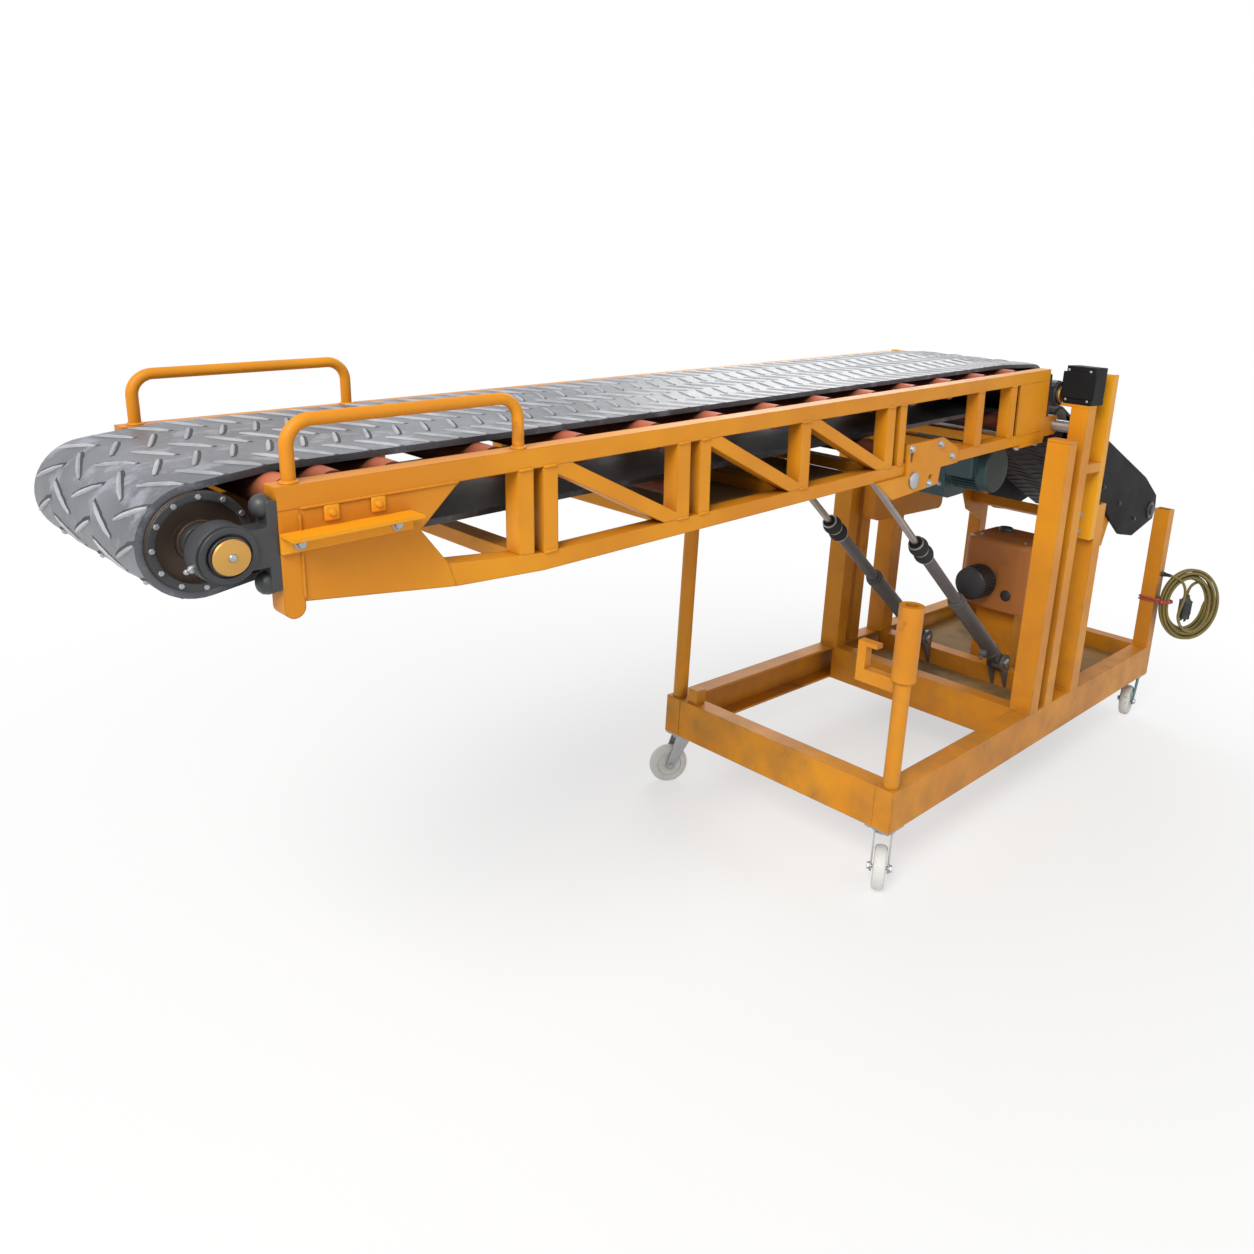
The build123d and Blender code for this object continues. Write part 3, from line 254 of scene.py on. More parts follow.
@dataclass(frozen=True)
class Finish:
    """A surface finish: two tones, a worn tone, gloss and fine relief.

    Attributes:
        name: Material name.
        tone: Main colour, linear RGB.
        tone_b: Second colour that drifts through the first.
        worn: Colour where the surface is rubbed or dirty.
        rough: Roughness of the clean surface.
        metal: Metallic share.
        drift_scale: Scale of the colour drift, per metre.
        worn_share: Share of the surface in the worn colour.
        worn_scale: Scale of the worn patches, per metre.
        relief: Depth of the fine bump in metres.
        relief_scale: Scale of the fine bump, per metre.
        edge: Rounding of sharp edges in the shading, in metres.
        edge_wear: How strongly edges take the worn colour.
        low_darkening: How strongly the low part of the machine is darkened towards a brown tone.
        shine: Strength of the mirrored light, 0.5 for common paint.
        painted_shade: How strongly shut-in places are darkened and dulled, as painted shade.
        painted_shade_reach: How near a wall has to be to shut a place in for the painted shade, in
            metres.
        low_darkening_top: Height at which the darkening ends, in metres.
        low_darkening_foot: Height below which the darkening is strongest, in metres.
    """

    name: str
    tone: Point
    tone_b: Point
    worn: Point
    rough: float = 0.45
    metal: float = 0.0
    drift_scale: float = 2.5
    worn_share: float = 0.2
    worn_scale: float = 9.0
    relief: float = 0.0004
    relief_scale: float = 160.0
    edge: float = 0.0
    edge_wear: float = 0.0
    low_darkening: float = 0.0
    shine: float = 0.5
    painted_shade: float = 0.0
    painted_shade_reach: float = 0.3
    low_darkening_top: float = 1.0
    low_darkening_foot: float = 0.15

    def material(self) -> bpy.types.Material:
        """Builds the node material once and returns it.

        Returns:
            The material of this finish.
        """
        found = bpy.data.materials.get(self.name)
        if found is not None:
            return found
        made = bpy.data.materials.new(self.name)
        made.use_nodes = True
        made.node_tree.nodes.clear()
        sheet = NodeSheet(made.node_tree)
        shader = sheet.node("BsdfPrincipled", {"Metallic": self.metal, SHINE: self.shine})
        place = sheet.add("TexCoord", {}, "Object")
        patches = sheet.noise(place, self.worn_scale, PATCH_DETAIL)
        bump: Inputs = {"Distance": self.relief, "Strength": BUMP_STRENGTH}
        bump["Height"] = sheet.noise(place, self.relief_scale, RELIEF_DETAIL)
        colour = self._tones(sheet, place, patches)
        if self.edge > 0:
            rounded = sheet.add("Bevel", {"Radius": self.edge}, "Normal", samples=EDGE_SAMPLES)
            bump["Normal"] = rounded
            if self.edge_wear > 0:
                rubbed = self._edge_mask(sheet, rounded, patches)
                colour = sheet.mix(sheet.times(rubbed, self.edge_wear), colour, self.worn)
        # Darker, browner colour towards the bottom of the machine.
        if self.low_darkening > 0:
            low_share = self._low_darkening_mask(sheet, place, patches)
            colour = sheet.mix(sheet.times(low_share, self.low_darkening), colour, LOW_DARK_TONE)
        # Painted shade: ambient occlusion darkens shut-in places towards DEEP_SHADE and dulls their
        # reflections.
        if self.painted_shade > 0:
            shade_share = sheet.times(self._painted_shade_mask(sheet), self.painted_shade)
            colour = sheet.mix(shade_share, colour, DEEP_SHADE)
            sheet.feed(shader, {SHINE: sheet.span(shade_share, self.shine, 0.0)})
        smoothest = max(GLOSS_LIMITS[0], self.rough - GLOSS_SPREAD[0])
        roughest = min(GLOSS_LIMITS[1], self.rough + GLOSS_SPREAD[1])
        gloss = sheet.span(patches, smoothest, roughest)
        normal = sheet.add("Bump", bump, "Normal")
        sheet.feed(shader, {"Base Color": colour, "Roughness": gloss, "Normal": normal})
        sheet.node("OutputMaterial", {"Surface": shader.outputs["BSDF"]})
        return made

    def _tones(self, sheet: NodeSheet, place: Socket, patches: Socket) -> Socket:
        """Mixes the two tones and the worn tone.

        Args:
            sheet: Node tree of the material.
            place: Coordinates.
            patches: Noise of the worn patches.

        Returns:
            Socket of the colour.
        """
        drift = sheet.noise(place, self.drift_scale, DRIFT_DETAIL)
        colour = sheet.mix(sheet.ramp(drift, *DRIFT_RANGE), self.tone, self.tone_b)
        worn = sheet.ramp(patches, 0.78 - 0.45 * self.worn_share, 0.84 - 0.3 * self.worn_share)
        return sheet.mix(sheet.times(worn, 0.35 + 0.5 * self.worn_share), colour, self.worn)

    def _edge_mask(self, sheet: NodeSheet, rounded: Socket, patches: Socket) -> Socket:
        """Masks sharp edges, broken up by the patches.

        Args:
            sheet: Node tree of the material.
            rounded: Normal with rounded edges.
            patches: Noise that breaks the mask up.

        Returns:
            Socket that is 1 on a rubbed edge.
        """
        hard = sheet.add("NewGeometry", {}, "Normal")
        dot = sheet.add("VectorMath", {0: rounded, 1: hard}, "Value", operation="DOT_PRODUCT")
        return sheet.times(sheet.ramp(dot, *SHARP_EDGE), sheet.ramp(patches, *RUBBED_PATCHES))

    def _low_darkening_mask(self, sheet: NodeSheet, place: Socket, patches: Socket) -> Socket:
        """Masks the low part of the machine, broken up by the patches.

        Args:
            sheet: Node tree of the material.
            place: Coordinates.
            patches: Noise that breaks the mask up.

        Returns:
            Socket that is 1 where the darkening is strongest.
        """
        height = sheet.add("SeparateXYZ", {"Vector": place}, "Z")
        inputs = {"Value": height, "From Min": self.low_darkening_top, "From Max": self.low_darkening_foot}
        low = sheet.add("MapRange", inputs, "Result")
        return sheet.times(low, sheet.ramp(patches, *LOW_DARK_PATCHES))

    def _painted_shade_mask(self, sheet: NodeSheet) -> Socket:
        """Masks the places that near walls shut in, where shade is painted.

        Args:
            sheet: Node tree of the material.

        Returns:
            Socket that is 1 where a place is shut in and 0 where it is open.
        """
        reach = {"Distance": self.painted_shade_reach}
        light = sheet.add("AmbientOcclusion", reach, "AO", samples=PAINTED_SHADE_SAMPLES)
        return sheet.ramp(light, *PAINTED_SHADE_AO_RANGE)


PAINT = Finish(
    "frame_paint_orange",
    (0.72, 0.285, 0.010),
    (0.61, 0.222, 0.010),
    (0.28, 0.105, 0.02),
    rough=0.42,
    worn_share=0.35,
    edge=0.004,
    edge_wear=0.55,
    low_darkening=0.45,
    shine=0.25,
    # Painted shade darkens the frame paint in its corners.
    painted_shade=0.3,
    painted_shade_reach=0.1,
)
# Frame paint made lighter and yellower as painted light.
LIT_PAINT = Finish(
    "frame_paint_painted_light",
    (0.82, 0.37, 0.010),
    (0.76, 0.31, 0.010),
    (0.42, 0.18, 0.02),
    rough=0.4,
    edge=0.004,
    edge_wear=0.4,
    low_darkening=0.2,
    shine=0.25,
)
# Frame paint darkened to brown as painted shade, for the tank.
SHADED_PAINT = Finish(
    "tank_paint_painted_shade",
    (0.46, 0.165, 0.03),
    (0.37, 0.125, 0.026),
    (0.18, 0.08, 0.03),
    rough=0.5,
    worn_share=0.45,
    edge=0.006,
    edge_wear=0.5,
    low_darkening=0.3,
)
# Dark, mottled brown finish of the pans.
PAN_STEEL = Finish(
    "floor_pan_dark_brown",
    (0.34, 0.19, 0.05),
    (0.25, 0.15, 0.05),
    (0.12, 0.08, 0.04),
    rough=0.7,
    worn_share=0.7,
    worn_scale=5.0,
)
BELT_RUBBER = Finish(
    "belt_rubber_worn",
    (0.060, 0.066, 0.083),
    (0.11, 0.118, 0.142),
    (0.28, 0.30, 0.35),
    rough=0.34,
    worn_share=0.6,
    worn_scale=17.0,
    drift_scale=4.0,
    relief=0.0012,
    relief_scale=220.0,
    shine=1.0,
    # Painted shade darkens the return run and the belt's other shut-in faces.
    painted_shade=0.9,
)
# Bars lighter than the belt: partly rubbed rubber, partly painted highlight.
BAR_RUBBER = Finish(
    "belt_bar_rubbed_and_painted_highlight",
    (0.27, 0.28, 0.305),
    (0.40, 0.41, 0.44),
    (0.07, 0.07, 0.08),
    worn_share=0.3,
    worn_scale=30.0,
    drift_scale=9.0,
    relief=0.0008,
    shine=0.7,
)
# Painted shadow: a dark strip that trails each bar on the belt.
BAR_SHADOW = Finish(
    "belt_bar_painted_shadow",
    (0.028, 0.028, 0.032),
    (0.05, 0.05, 0.055),
    (0.14, 0.14, 0.15),
    rough=0.75,
    worn_share=0.4,
    worn_scale=25.0,
)
BLACK_RUBBER = Finish(
    "boot_rubber",
    (0.018, 0.018, 0.02),
    (0.03, 0.03, 0.03),
    (0.09, 0.085, 0.08),
    rough=0.6,
    shine=0.2,
)
# Near-black finish, darker than any black sheet; on the feed panels it is painted shade.
BLACK_PANEL_AND_SHADE = Finish(
    "black_panel_and_painted_shade",
    (0.006, 0.006, 0.007),
    (0.012, 0.012, 0.013),
    (0.03, 0.03, 0.03),
    rough=0.6,
    edge=0.004,
    shine=0.15,
)
BLACK_IRON = Finish(
    "housing_black",
    (0.022, 0.024, 0.027),
    (0.035, 0.037, 0.04),
    (0.12, 0.10, 0.08),
    rough=0.38,
    worn_share=0.25,
    edge=0.004,
    edge_wear=0.5,
    relief=0.0008,
    relief_scale=90.0,
)
DRUM_STEEL = Finish(
    "drum_dark_steel",
    (0.055, 0.04, 0.03),
    (0.09, 0.06, 0.045),
    (0.16, 0.13, 0.11),
    rough=0.5,
    metal=0.6,
    worn_share=0.5,
    edge=0.003,
    edge_wear=0.6,
)
PRIMER_RED = Finish(
    "roller_primer_red",
    (0.42, 0.10, 0.055),
    (0.52, 0.15, 0.07),
    (0.30, 0.16, 0.12),
    rough=0.5,
    worn_share=0.4,
    edge=0.003,
    shine=0.3,
    # Painted shade darkens the rollers inside the boom.
    painted_shade=0.8,
    painted_shade_reach=0.25,
)
BARREL_GREY = Finish(
    "cylinder_paint_grey",
    (0.075, 0.08, 0.085),
    (0.11, 0.11, 0.115),
    (0.05, 0.04, 0.035),
    rough=0.4,
    worn_share=0.4,
    edge=0.003,
    edge_wear=0.5,
    low_darkening=0.3,
)
ROD_CHROME = Finish(
    "rod_chrome",
    (0.32, 0.29, 0.26),
    (0.40, 0.37, 0.34),
    (0.12, 0.10, 0.09),
    rough=0.25,
    metal=1.0,
    worn_share=0.3,
    relief=0.0001,
)
ZINC = Finish(
    "zinc_plate",
    (0.46, 0.47, 0.48),
    (0.36, 0.37, 0.39),
    (0.28, 0.24, 0.2),
    rough=0.36,
    metal=0.9,
    worn_share=0.35,
    edge=0.002,
    low_darkening=0.1,
)
TEAL_FORK = Finish(
    "fork_teal",
    (0.03, 0.13, 0.12),
    (0.05, 0.18, 0.16),
    (0.16, 0.15, 0.13),
    worn_share=0.4,
)
BRASS = Finish(
    "cap_yellow_passivated",
    (0.62, 0.36, 0.09),
    (0.52, 0.28, 0.07),
    (0.30, 0.18, 0.08),
    rough=0.33,
    metal=0.7,
)
MOTOR_TEAL = Finish(
    "gear_paint_teal",
    (0.022, 0.055, 0.065),
    (0.03, 0.075, 0.085),
    (0.09, 0.08, 0.07),
    rough=0.42,
    worn_share=0.35,
    edge=0.004,
    edge_wear=0.5,
)
WHEEL_NYLON = Finish(
    "wheel_pale_nylon",
    (0.66, 0.66, 0.64),
    (0.72, 0.715, 0.69),
    (0.26, 0.23, 0.2),
    rough=0.5,
    worn_share=0.45,
    worn_scale=40.0,
    drift_scale=20.0,
)
WHEEL_BLUE = Finish(
    "wheel_band_blue",
    (0.035, 0.12, 0.42),
    (0.05, 0.16, 0.5),
    (0.2, 0.2, 0.22),
    rough=0.5,
)
CABLE_OLIVE = Finish(
    "cable_jacket_olive",
    (0.16, 0.125, 0.03),
    (0.21, 0.16, 0.04),
    (0.07, 0.055, 0.025),
    rough=0.5,
    worn_share=0.4,
    drift_scale=12.0,
)
TIE_RED = Finish(
    "tie_red",
    (0.35, 0.03, 0.03),
    (0.42, 0.05, 0.04),
    (0.15, 0.03, 0.03),
    rough=0.5,
)


def wear(finish: Finish, *nodes: str) -> None:
    """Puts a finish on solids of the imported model.

    Args:
        finish: The finish.
        nodes: Names of the solids.
    """
    for node in nodes:
        mesh = frame["nodes"][node].data
        mesh.materials.clear()
        mesh.materials.append(finish.material())


def joint(name: str) -> Vector:
    """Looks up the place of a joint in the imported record.

    Args:
        name: Joint name.

    Returns:
        The joint's place at rest.
    """
    return Vector(next(j["pos_m"] for j in frame["joints"] if j["name"] == name))


def turn_to(axis: Point, place: Point) -> Matrix:
    """Sets up a frame at a place, its z axis along an axis.

    Args:
        axis: Direction of the frame's z axis.
        place: Origin of the frame.

    Returns:
        The frame as a 4 by 4 matrix.
    """
    turn = Vector(axis).to_track_quat("Z", "Y").to_matrix().to_4x4()
    return Matrix.Translation(Vector(place)) @ turn


def round_angles(count: int, start: float = 0.0) -> list[float]:
    """Spaces angles evenly round a circle.

    Args:
        count: Number of angles.
        start: First angle in radians.

    Returns:
        The angles in radians.
    """
    return [start + 2 * math.pi * i / count for i in range(count)]


@dataclass(frozen=True)
class Bolt:
    """Size of a hexagon bolt head.

    Attributes:
        radius: Radius across the corners.
        height: Height of the head.
        washer: Whether a washer lies under it.
    """

    radius: float
    height: float
    washer: bool = True


@dataclass
class Shape:
    """A mesh that is gathered piece by piece and then made into one object.

    Attributes:
        points: Vertex places.
        faces: Vertex numbers of each face.
    """

    points: list[Vector] = field(default_factory=list)
    faces: list[tuple[int, ...]] = field(default_factory=list)

    def add(self, points: Iterable[Point], faces: Iterable[Sequence[int]], at: Matrix) -> "Shape":
        """Adds vertices and faces, moved by a frame.

        Args:
            points: New vertices.
            faces: Faces by the new vertices' numbers.
            at: Frame that moves them.

        Returns:
            This shape.
        """
        base = len(self.points)
        self.points.extend(at @ Vector(p) for p in points)
        self.faces.extend(tuple(base + i for i in face) for face in faces)
        return self

    def skin(self, points: Sequence[Point], count: int, levels: int, at: Matrix = STILL) -> "Shape":
        """Joins rings of points into a closed skin with end caps.

        Args:
            points: Points of all rings, ring by ring.
            count: Number of points in a ring.
            levels: Number of rings.
            at: Frame that moves them.

        Returns:
            This shape.
        """
        faces: list[Sequence[int]] = [tuple(reversed(range(count)))]
        for level in range(levels - 1):
            low, high = level * count, (level + 1) * count
            for i in range(count):
                j = (i + 1) % count
                faces.append((low + i, low + j, high + j, high + i))
        faces.append(tuple((levels - 1) * count + i for i in range(count)))
        return self.add(points, faces, at)

    def box(self, size: Point, at: Matrix, bevel: float = 0.0) -> "Shape":
        """Adds a box centred on a frame, its edges along z chamfered, with a smaller top and foot.

        Args:
            size: Lengths along the frame's axes.
            at: Frame of the box.
            bevel: Width of the chamfers.

        Returns:
            This shape.
        """
        x, y, z = (v / 2 for v in size)
        c = min(bevel, x * 0.9, y * 0.9, z * 0.9)
        if c <= 0:
            ring = [(x, y), (-x, y), (-x, -y), (x, -y)]
            levels = [(-z, 0.0), (z, 0.0)]
        else:
            ring = [(x, y - c), (x - c, y), (-x + c, y), (-x, y - c)]
            ring += [(-x, -y + c), (-x + c, -y), (x - c, -y), (x, -y + c)]
            levels = [(-z, c), (-z + c, 0.0), (z - c, 0.0), (z, c)]
        points = []
        for height, inset in levels:
            points += [(px * (1 - inset / x), py * (1 - inset / y), height) for px, py in ring]
        return self.skin(points, len(ring), len(levels), at)

    def lathe(self, profile: Profile, at: Matrix, segments: int = 24) -> "Shape":
        """Adds a turned form.

        Args:
            profile: Radius and height pairs from the foot to the top.
            at: Frame whose z axis is the axis.
            segments: Number of flats round the form.

        Returns:
            This shape.
        """
        points = []
        for radius, height in profile:
            for a in round_angles(segments):
                points.append((radius * math.cos(a), radius * math.sin(a), height))
        return self.skin(points, segments, len(profile), at)

    def ring(self, inner: float, outer: float, height: float, at: Matrix, segments: int = 32) -> "Shape":
        """Adds a flat ring with a square section.

        Args:
            inner: Inner radius.
            outer: Outer radius.
            height: Thickness along the axis.
            at: Frame at the ring's foot.
            segments: Number of flats.

        Returns:
            This shape.
        """
        section = ((inner, 0.0), (outer, 0.0), (outer, height), (inner, height))
        points = []
        for a in round_angles(segments):
            points += [(r * math.cos(a), r * math.sin(a), z) for r, z in section]
        faces = []
        for i in range(segments):
            j = (i + 1) % segments
            faces += [(4 * i + k, 4 * j + k, 4 * j + (k + 1) % 4, 4 * i + (k + 1) % 4) for k in range(4)]
        return self.add(points, faces, at)

    def bolt(self, at: Matrix, size: Bolt) -> "Shape":
        """Adds a hexagon bolt head, standing on a frame's z axis.

        Args:
            at: Frame on the surface.
            size: Size of the head.

        Returns:
            This shape.
        """
        foot = 0.0
        r = size.radius
        if size.washer:
            foot = r * 0.22
            self.lathe(((r * 1.35, 0.0), (r * 1.35, foot * 0.8), (r * 1.2, foot)), at, 16)
        head = ((r, foot), (r, foot + size.height * 0.8), (r * 0.86, foot + size.height))
        return self.lathe(head, at, 6)

    def weld(self, start: Point, end: Point, radius: float = 0.0035, ripple: float = 0.007) -> "Shape":
        """Adds a rippled weld bead between two places.

        Args:
            start: First end.
            end: Second end.
            radius: Mean radius of the bead.
            ripple: Distance between its ripples.

        Returns:
            This shape.
        """
        a, b = Vector(start), Vector(end)
        count = max(3, int((b - a).length / ripple))
        step = (b - a).length / count
        profile = [(radius * 0.4, 0.0)]
        for i in range(count):
            profile.append((radius * (1.12 if i % 2 else 0.88), step * (i + 0.5)))
        profile.append((radius * 0.4, step * count))
        return self.lathe(profile, turn_to(b - a, a), 7)

    def tube(self, path: Sequence[Point], radius: float, segments: int = 10) -> "Shape":
        """Adds a round tube along a path of points.

        Args:
            path: Points of the centre line.
            radius: Radius of the tube.
            segments: Number of flats.

        Returns:
            This shape.
        """
        line = [Vector(p) for p in path]
        points: list[Vector] = []
        up = Vector((0.123, 0.51, 0.85))
        for i, p in enumerate(line):
            ahead = (line[min(i + 1, len(line) - 1)] - line[max(i - 1, 0)]).normalized()
            across = ahead.cross(up).normalized()
            up = across.cross(ahead)
            for a in round_angles(segments):
                points.append(p + radius * (math.cos(a) * across + math.sin(a) * up))
        return self.skin(points, segments, len(line))

    def make(
        self, name: str, finish: Finish, body: Body | str, slot: Slot, smooth: float = 35.0
    ) -> bpy.types.Object:
        """Makes the object, dresses it and lets it ride on a body.

        Args:
            name: Object name.
            finish: Its finish.
            body: Body it moves with.
            slot: Material slot of the record; not used.
            smooth: Angle below which edges are shaded smooth, in degrees.

        Returns:
            The new object.
        """
        mesh = bpy.data.meshes.new(name)
        mesh.from_pydata([tuple(p) for p in self.points], [], self.faces)
        mesh.validate()
        mesh.shade_smooth()
        mesh.set_sharp_from_angle(angle=math.radians(smooth))
        mesh.materials.append(finish.material())
        made = bpy.data.objects.new(name, mesh)
        bpy.context.scene.collection.objects.link(made)
        carrier = body.value if isinstance(body, Body) else body
        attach(made, carrier)
        LOG.info("%s: %d faces on %s", name, len(self.faces), carrier)
        return made


@dataclass
class Boom:
    """Side frames, rollers and drums of the boom, in s along, y across and n square to it.

    Attributes:
        pitch: Slope of the boom in degrees.
        length: Length of the side frames.
        half_w: Half width over the side frames.
        frame_t: Thickness of the side frames.
        depth: Depth of the side frames.
        pivot: Place of the pivot, s and n.
        eye: Place of the cylinders' eye shaft, s and n.
        drum_out: Distance of the drum axes outside the ends.
        drum_n: Drum axes square to the boom.
        drum_r: Radius of the drums.
        drum_half_w: Half width over the drums.
        ear: Distance of a bearing block's bolts from its axis.
        ear_foot: Distance of an ear's foot outside the end.
        ear_top: Distance of its bolt outside the end.
        ear_form: Profile of a bearing block's ear.
        ear_bolt: Bolts of the bearing blocks.
        angle_s: Places of the angle bars' bolts along the boom.
        angle_n: Angle bars' bolts square to the boom.
        angle_t: Thickness of the angle bars.
        angle_bolt: Bolts of the angle bars.
        lug_holes: Places of the lug plates' bolts, s and n.
        lug_t: Thickness of the lug plates.
        lug_bolt: Bolts of the lug plates.
        hanger_s: Places of the motor hanger's bolts along the boom.
        hanger_t: Thickness of the motor hanger.
        hanger_bolt: Bolts of the motor hanger.
        ring_bolt: Bolts of the drums' end rings.
        ring_bolts: Number of bolts in a ring.
        web_welds: Ends along the boom of the beads at each web member.
        plate_welds: Ends of the beads round the end plates, s and n of each.
        weld_top: Beads under the top chord, n.
        weld_low: Beads on the lower chord, n.
        head_s: Rear end of the head plate, which has no beads on the lower chord.
        handle_s: Feet of the handles along the boom.
        pad_s: Places of the head pads along the boom.
        pad_n: Head pads square to the boom.
        pad: Lengths of a head pad.
        pad_bolt: Bolt on a head pad.
    """

    pitch: float = 3.49
    length: float = 2.664
    half_w: float = 0.33
    frame_t: float = 0.04
    depth: float = 0.24
    pivot: Pair = (2.735, -0.198)
    eye: Pair = (1.812, -0.258)
    drum_out: float = 0.077
    drum_n: float = -0.09
    drum_r: float = 0.079
    drum_half_w: float = 0.235
    ear: float = 0.061
    ear_foot: float = 0.008
    ear_top: float = 0.016
    ear_form: Profile = (
        (0.0185, 0.0),
        (0.019, 0.008),
        (0.0165, 0.016),
        (0.0115, 0.021),
        (0.005, 0.0235),
    )
    ear_bolt: Bolt = Bolt(0.011, 0.01)
    angle_s: Sequence[float] = (0.03, 0.195)
    angle_n: float = -0.091
    angle_t: float = 0.006
    angle_bolt: Bolt = Bolt(0.008, 0.006)
    lug_holes: Pairs = ((1.79, -0.165), (1.95, -0.17), (2.02, -0.215), (1.9, -0.28))
    lug_t: float = 0.008
    lug_bolt: Bolt = Bolt(0.009, 0.007)
    hanger_s: Sequence[float] = (2.505, 2.64)
    hanger_t: float = 0.012
    hanger_bolt: Bolt = Bolt(0.01, 0.008)
    ring_bolt: Bolt = Bolt(0.0048, 0.004, False)
    ring_bolts: int = 12
    web_welds: Pairs = (
        (0.445, 0.48),
        (0.502, 0.537),
        (0.86, 0.9),
        (0.93, 0.965),
        (1.288, 1.328),
        (1.668, 1.708),
        (1.732, 1.765),
        (2.17, 2.21),
        (2.388, 2.428),
    )
    plate_welds: Sequence[tuple[Pair, Pair]] = (
        ((0.034, -0.038), (0.32, -0.038)),
        ((0.034, -0.045), (0.034, -0.185)),
        ((2.45, -0.042), (2.45, -0.2)),
        ((2.45, -0.205), (2.63, -0.205)),
    )
    weld_top: float = -0.038
    weld_low: float = -0.205
    head_s: float = 0.5
    handle_s: Sequence[float] = (0.03, 0.461)
    pad_s: Sequence[float] = (0.085, 0.165)
    pad_n: float = -0.052
    pad: Point = (0.026, 0.026, 0.004)
    pad_bolt: Bolt = Bolt(0.006, 0.004, False)

    def base(self) -> Matrix:
        """Sets up the boom's frame, with x along s, y across and z along n.

        Returns:
            The frame as a 4 by 4 matrix.
        """
        turn = Matrix.Rotation(-math.radians(self.pitch), 4, "Y")
        back = Matrix.Translation((-self.pivot[0], 0, -self.pivot[1]))
        return Matrix.Translation(joint("boom_lift")) @ turn @ back

    def spot(self, s: float, y: float, n: float, axis: Point = UP) -> Matrix:
        """Sets up a frame at a place of the boom.

        Args:
            s: Place along the boom.
            y: Place across it.
            n: Place square to it.
            axis: Direction of the frame's z axis, as seen from the boom.

        Returns:
            The frame as a 4 by 4 matrix.
        """
        return self.base() @ turn_to(axis, (s, y, n))

    def beyond(self, end: End, out: float) -> float:
        """Finds the place along the boom that lies outside an end.

        Args:
            end: End of the boom.
            out: Distance outside it.

        Returns:
            The place along the boom.
        """
        return -out if end is End.HEAD else self.length + out

    def dress(self) -> None:
        """Dresses the side frames, the bearing blocks, the drums and the pivot."""
        for node in ("top_chords", "bottom_chords", "web", "end_posts", "end_plates", "crossbars"):
            wear(PAINT, f"boom_{node}")
        wear(PAINT, "boom_pivot_brackets", "boom_lugs", "boom_handles", "motor_hanger")
        # Painted light: the head angles take the lightened frame paint.
        wear(LIT_PAINT, "head_angles")
        wear(PAN_STEEL, "boom_pan")
        wear(PRIMER_RED, "boom_idlers", "return_idlers")
        wear(DRUM_STEEL, "head_drum", "tail_drum")
        wear(BLACK_IRON, "bearing_blocks")
        wear(BRASS, "shaft_caps")
        wear(ZINC, "eye_shaft")
        self._fasteners()
        self._welds()
        self._drum_rings()
        self._bearings()
        self._head_pads()

    def _fasteners(self) -> None:
        """Adds the bolts of the bearing blocks, angle bars, lug plates and motor hanger."""
        steel = Shape()
        for way in Side:
            mid = way * (self.half_w - self.frame_t / 2)
            out = way * self.half_w
            over_lug = out + way * self.lug_t
            for end in End:
                for n in (self.drum_n - self.ear, self.drum_n + self.ear):
                    ear = self.spot(self.beyond(end, self.ear_top), mid, n, (end, 0, 0))
                    steel.bolt(ear, self.ear_bolt)
            for s in self.angle_s:
                bar = self.spot(s, out + way * self.angle_t, self.angle_n, (0, way, 0))
                steel.bolt(bar, self.angle_bolt)
            for s, n in self.lug_holes:
                steel.bolt(self.spot(s, over_lug, n, (0, way, 0)), self.lug_bolt)
            for s in self.hanger_s:
                under = self.spot(s, mid, -self.depth - self.hanger_t, DOWN)
                steel.bolt(under, self.hanger_bolt)
            shaft_end = self.spot(self.eye[0], over_lug, self.eye[1], (0, way, 0))
            steel.lathe(((0.024, 0), (0.024, 0.006), (0.02, 0.008)), shaft_end)
        steel.make("boom_bolts", ZINC, Body.BOOM, Slot.STEEL)

    def _welds(self) -> None:
        """Adds weld beads where web members and plates meet the chords, and at the handles' feet."""
        beads = Shape()
        base = self.base()
        foot = ((0.0105, 0.0), (0.0155, 0.0), (0.0145, 0.003), (0.0115, 0.005))
        for way in Side:
            out = way * self.half_w
            for a, b in self.web_welds:
                for n in (self.weld_top, self.weld_low):
                    if n == self.weld_top or a > self.head_s:
                        beads.weld(base @ Vector((a, out, n)), base @ Vector((b, out, n)))
            for (a, a_n), (b, b_n) in self.plate_welds:
                beads.weld(base @ Vector((a, out, a_n)), base @ Vector((b, out, b_n)), 0.003)
            for s in self.handle_s:
                beads.lathe(foot, self.spot(s, way * (self.half_w - self.frame_t / 2), 0.0), 20)
        beads.make("boom_weld_beads", PAINT, Body.BOOM, Slot.PAINT, 60)

    def _drum_rings(self) -> None:
        """Adds bolted rings on the ends of both drums."""
        rings = Shape()
        bolts = Shape()
        rim = self.drum_r - 0.0075
        thick = 0.004
        for end in End:
            for way in Side:
                s = self.beyond(end, self.drum_out)
                spot = self.spot(s, way * self.drum_half_w, self.drum_n, (0, way, 0))
                rings.ring(self.drum_r - 0.014, self.drum_r - 0.001, thick, spot, 48)
                rings.ring(0.02, 0.03, 0.012, spot, 32)
                for a in round_angles(self.ring_bolts):
                    place = Matrix.Translation((rim * math.cos(a), rim * math.sin(a), thick))
                    bolts.bolt(spot @ place, self.ring_bolt)
        rings.make("drum_end_rings", BLACK_IRON, Body.BOOM, Slot.IRON)
        bolts.make("drum_ring_bolts", ZINC, Body.BOOM, Slot.STEEL)

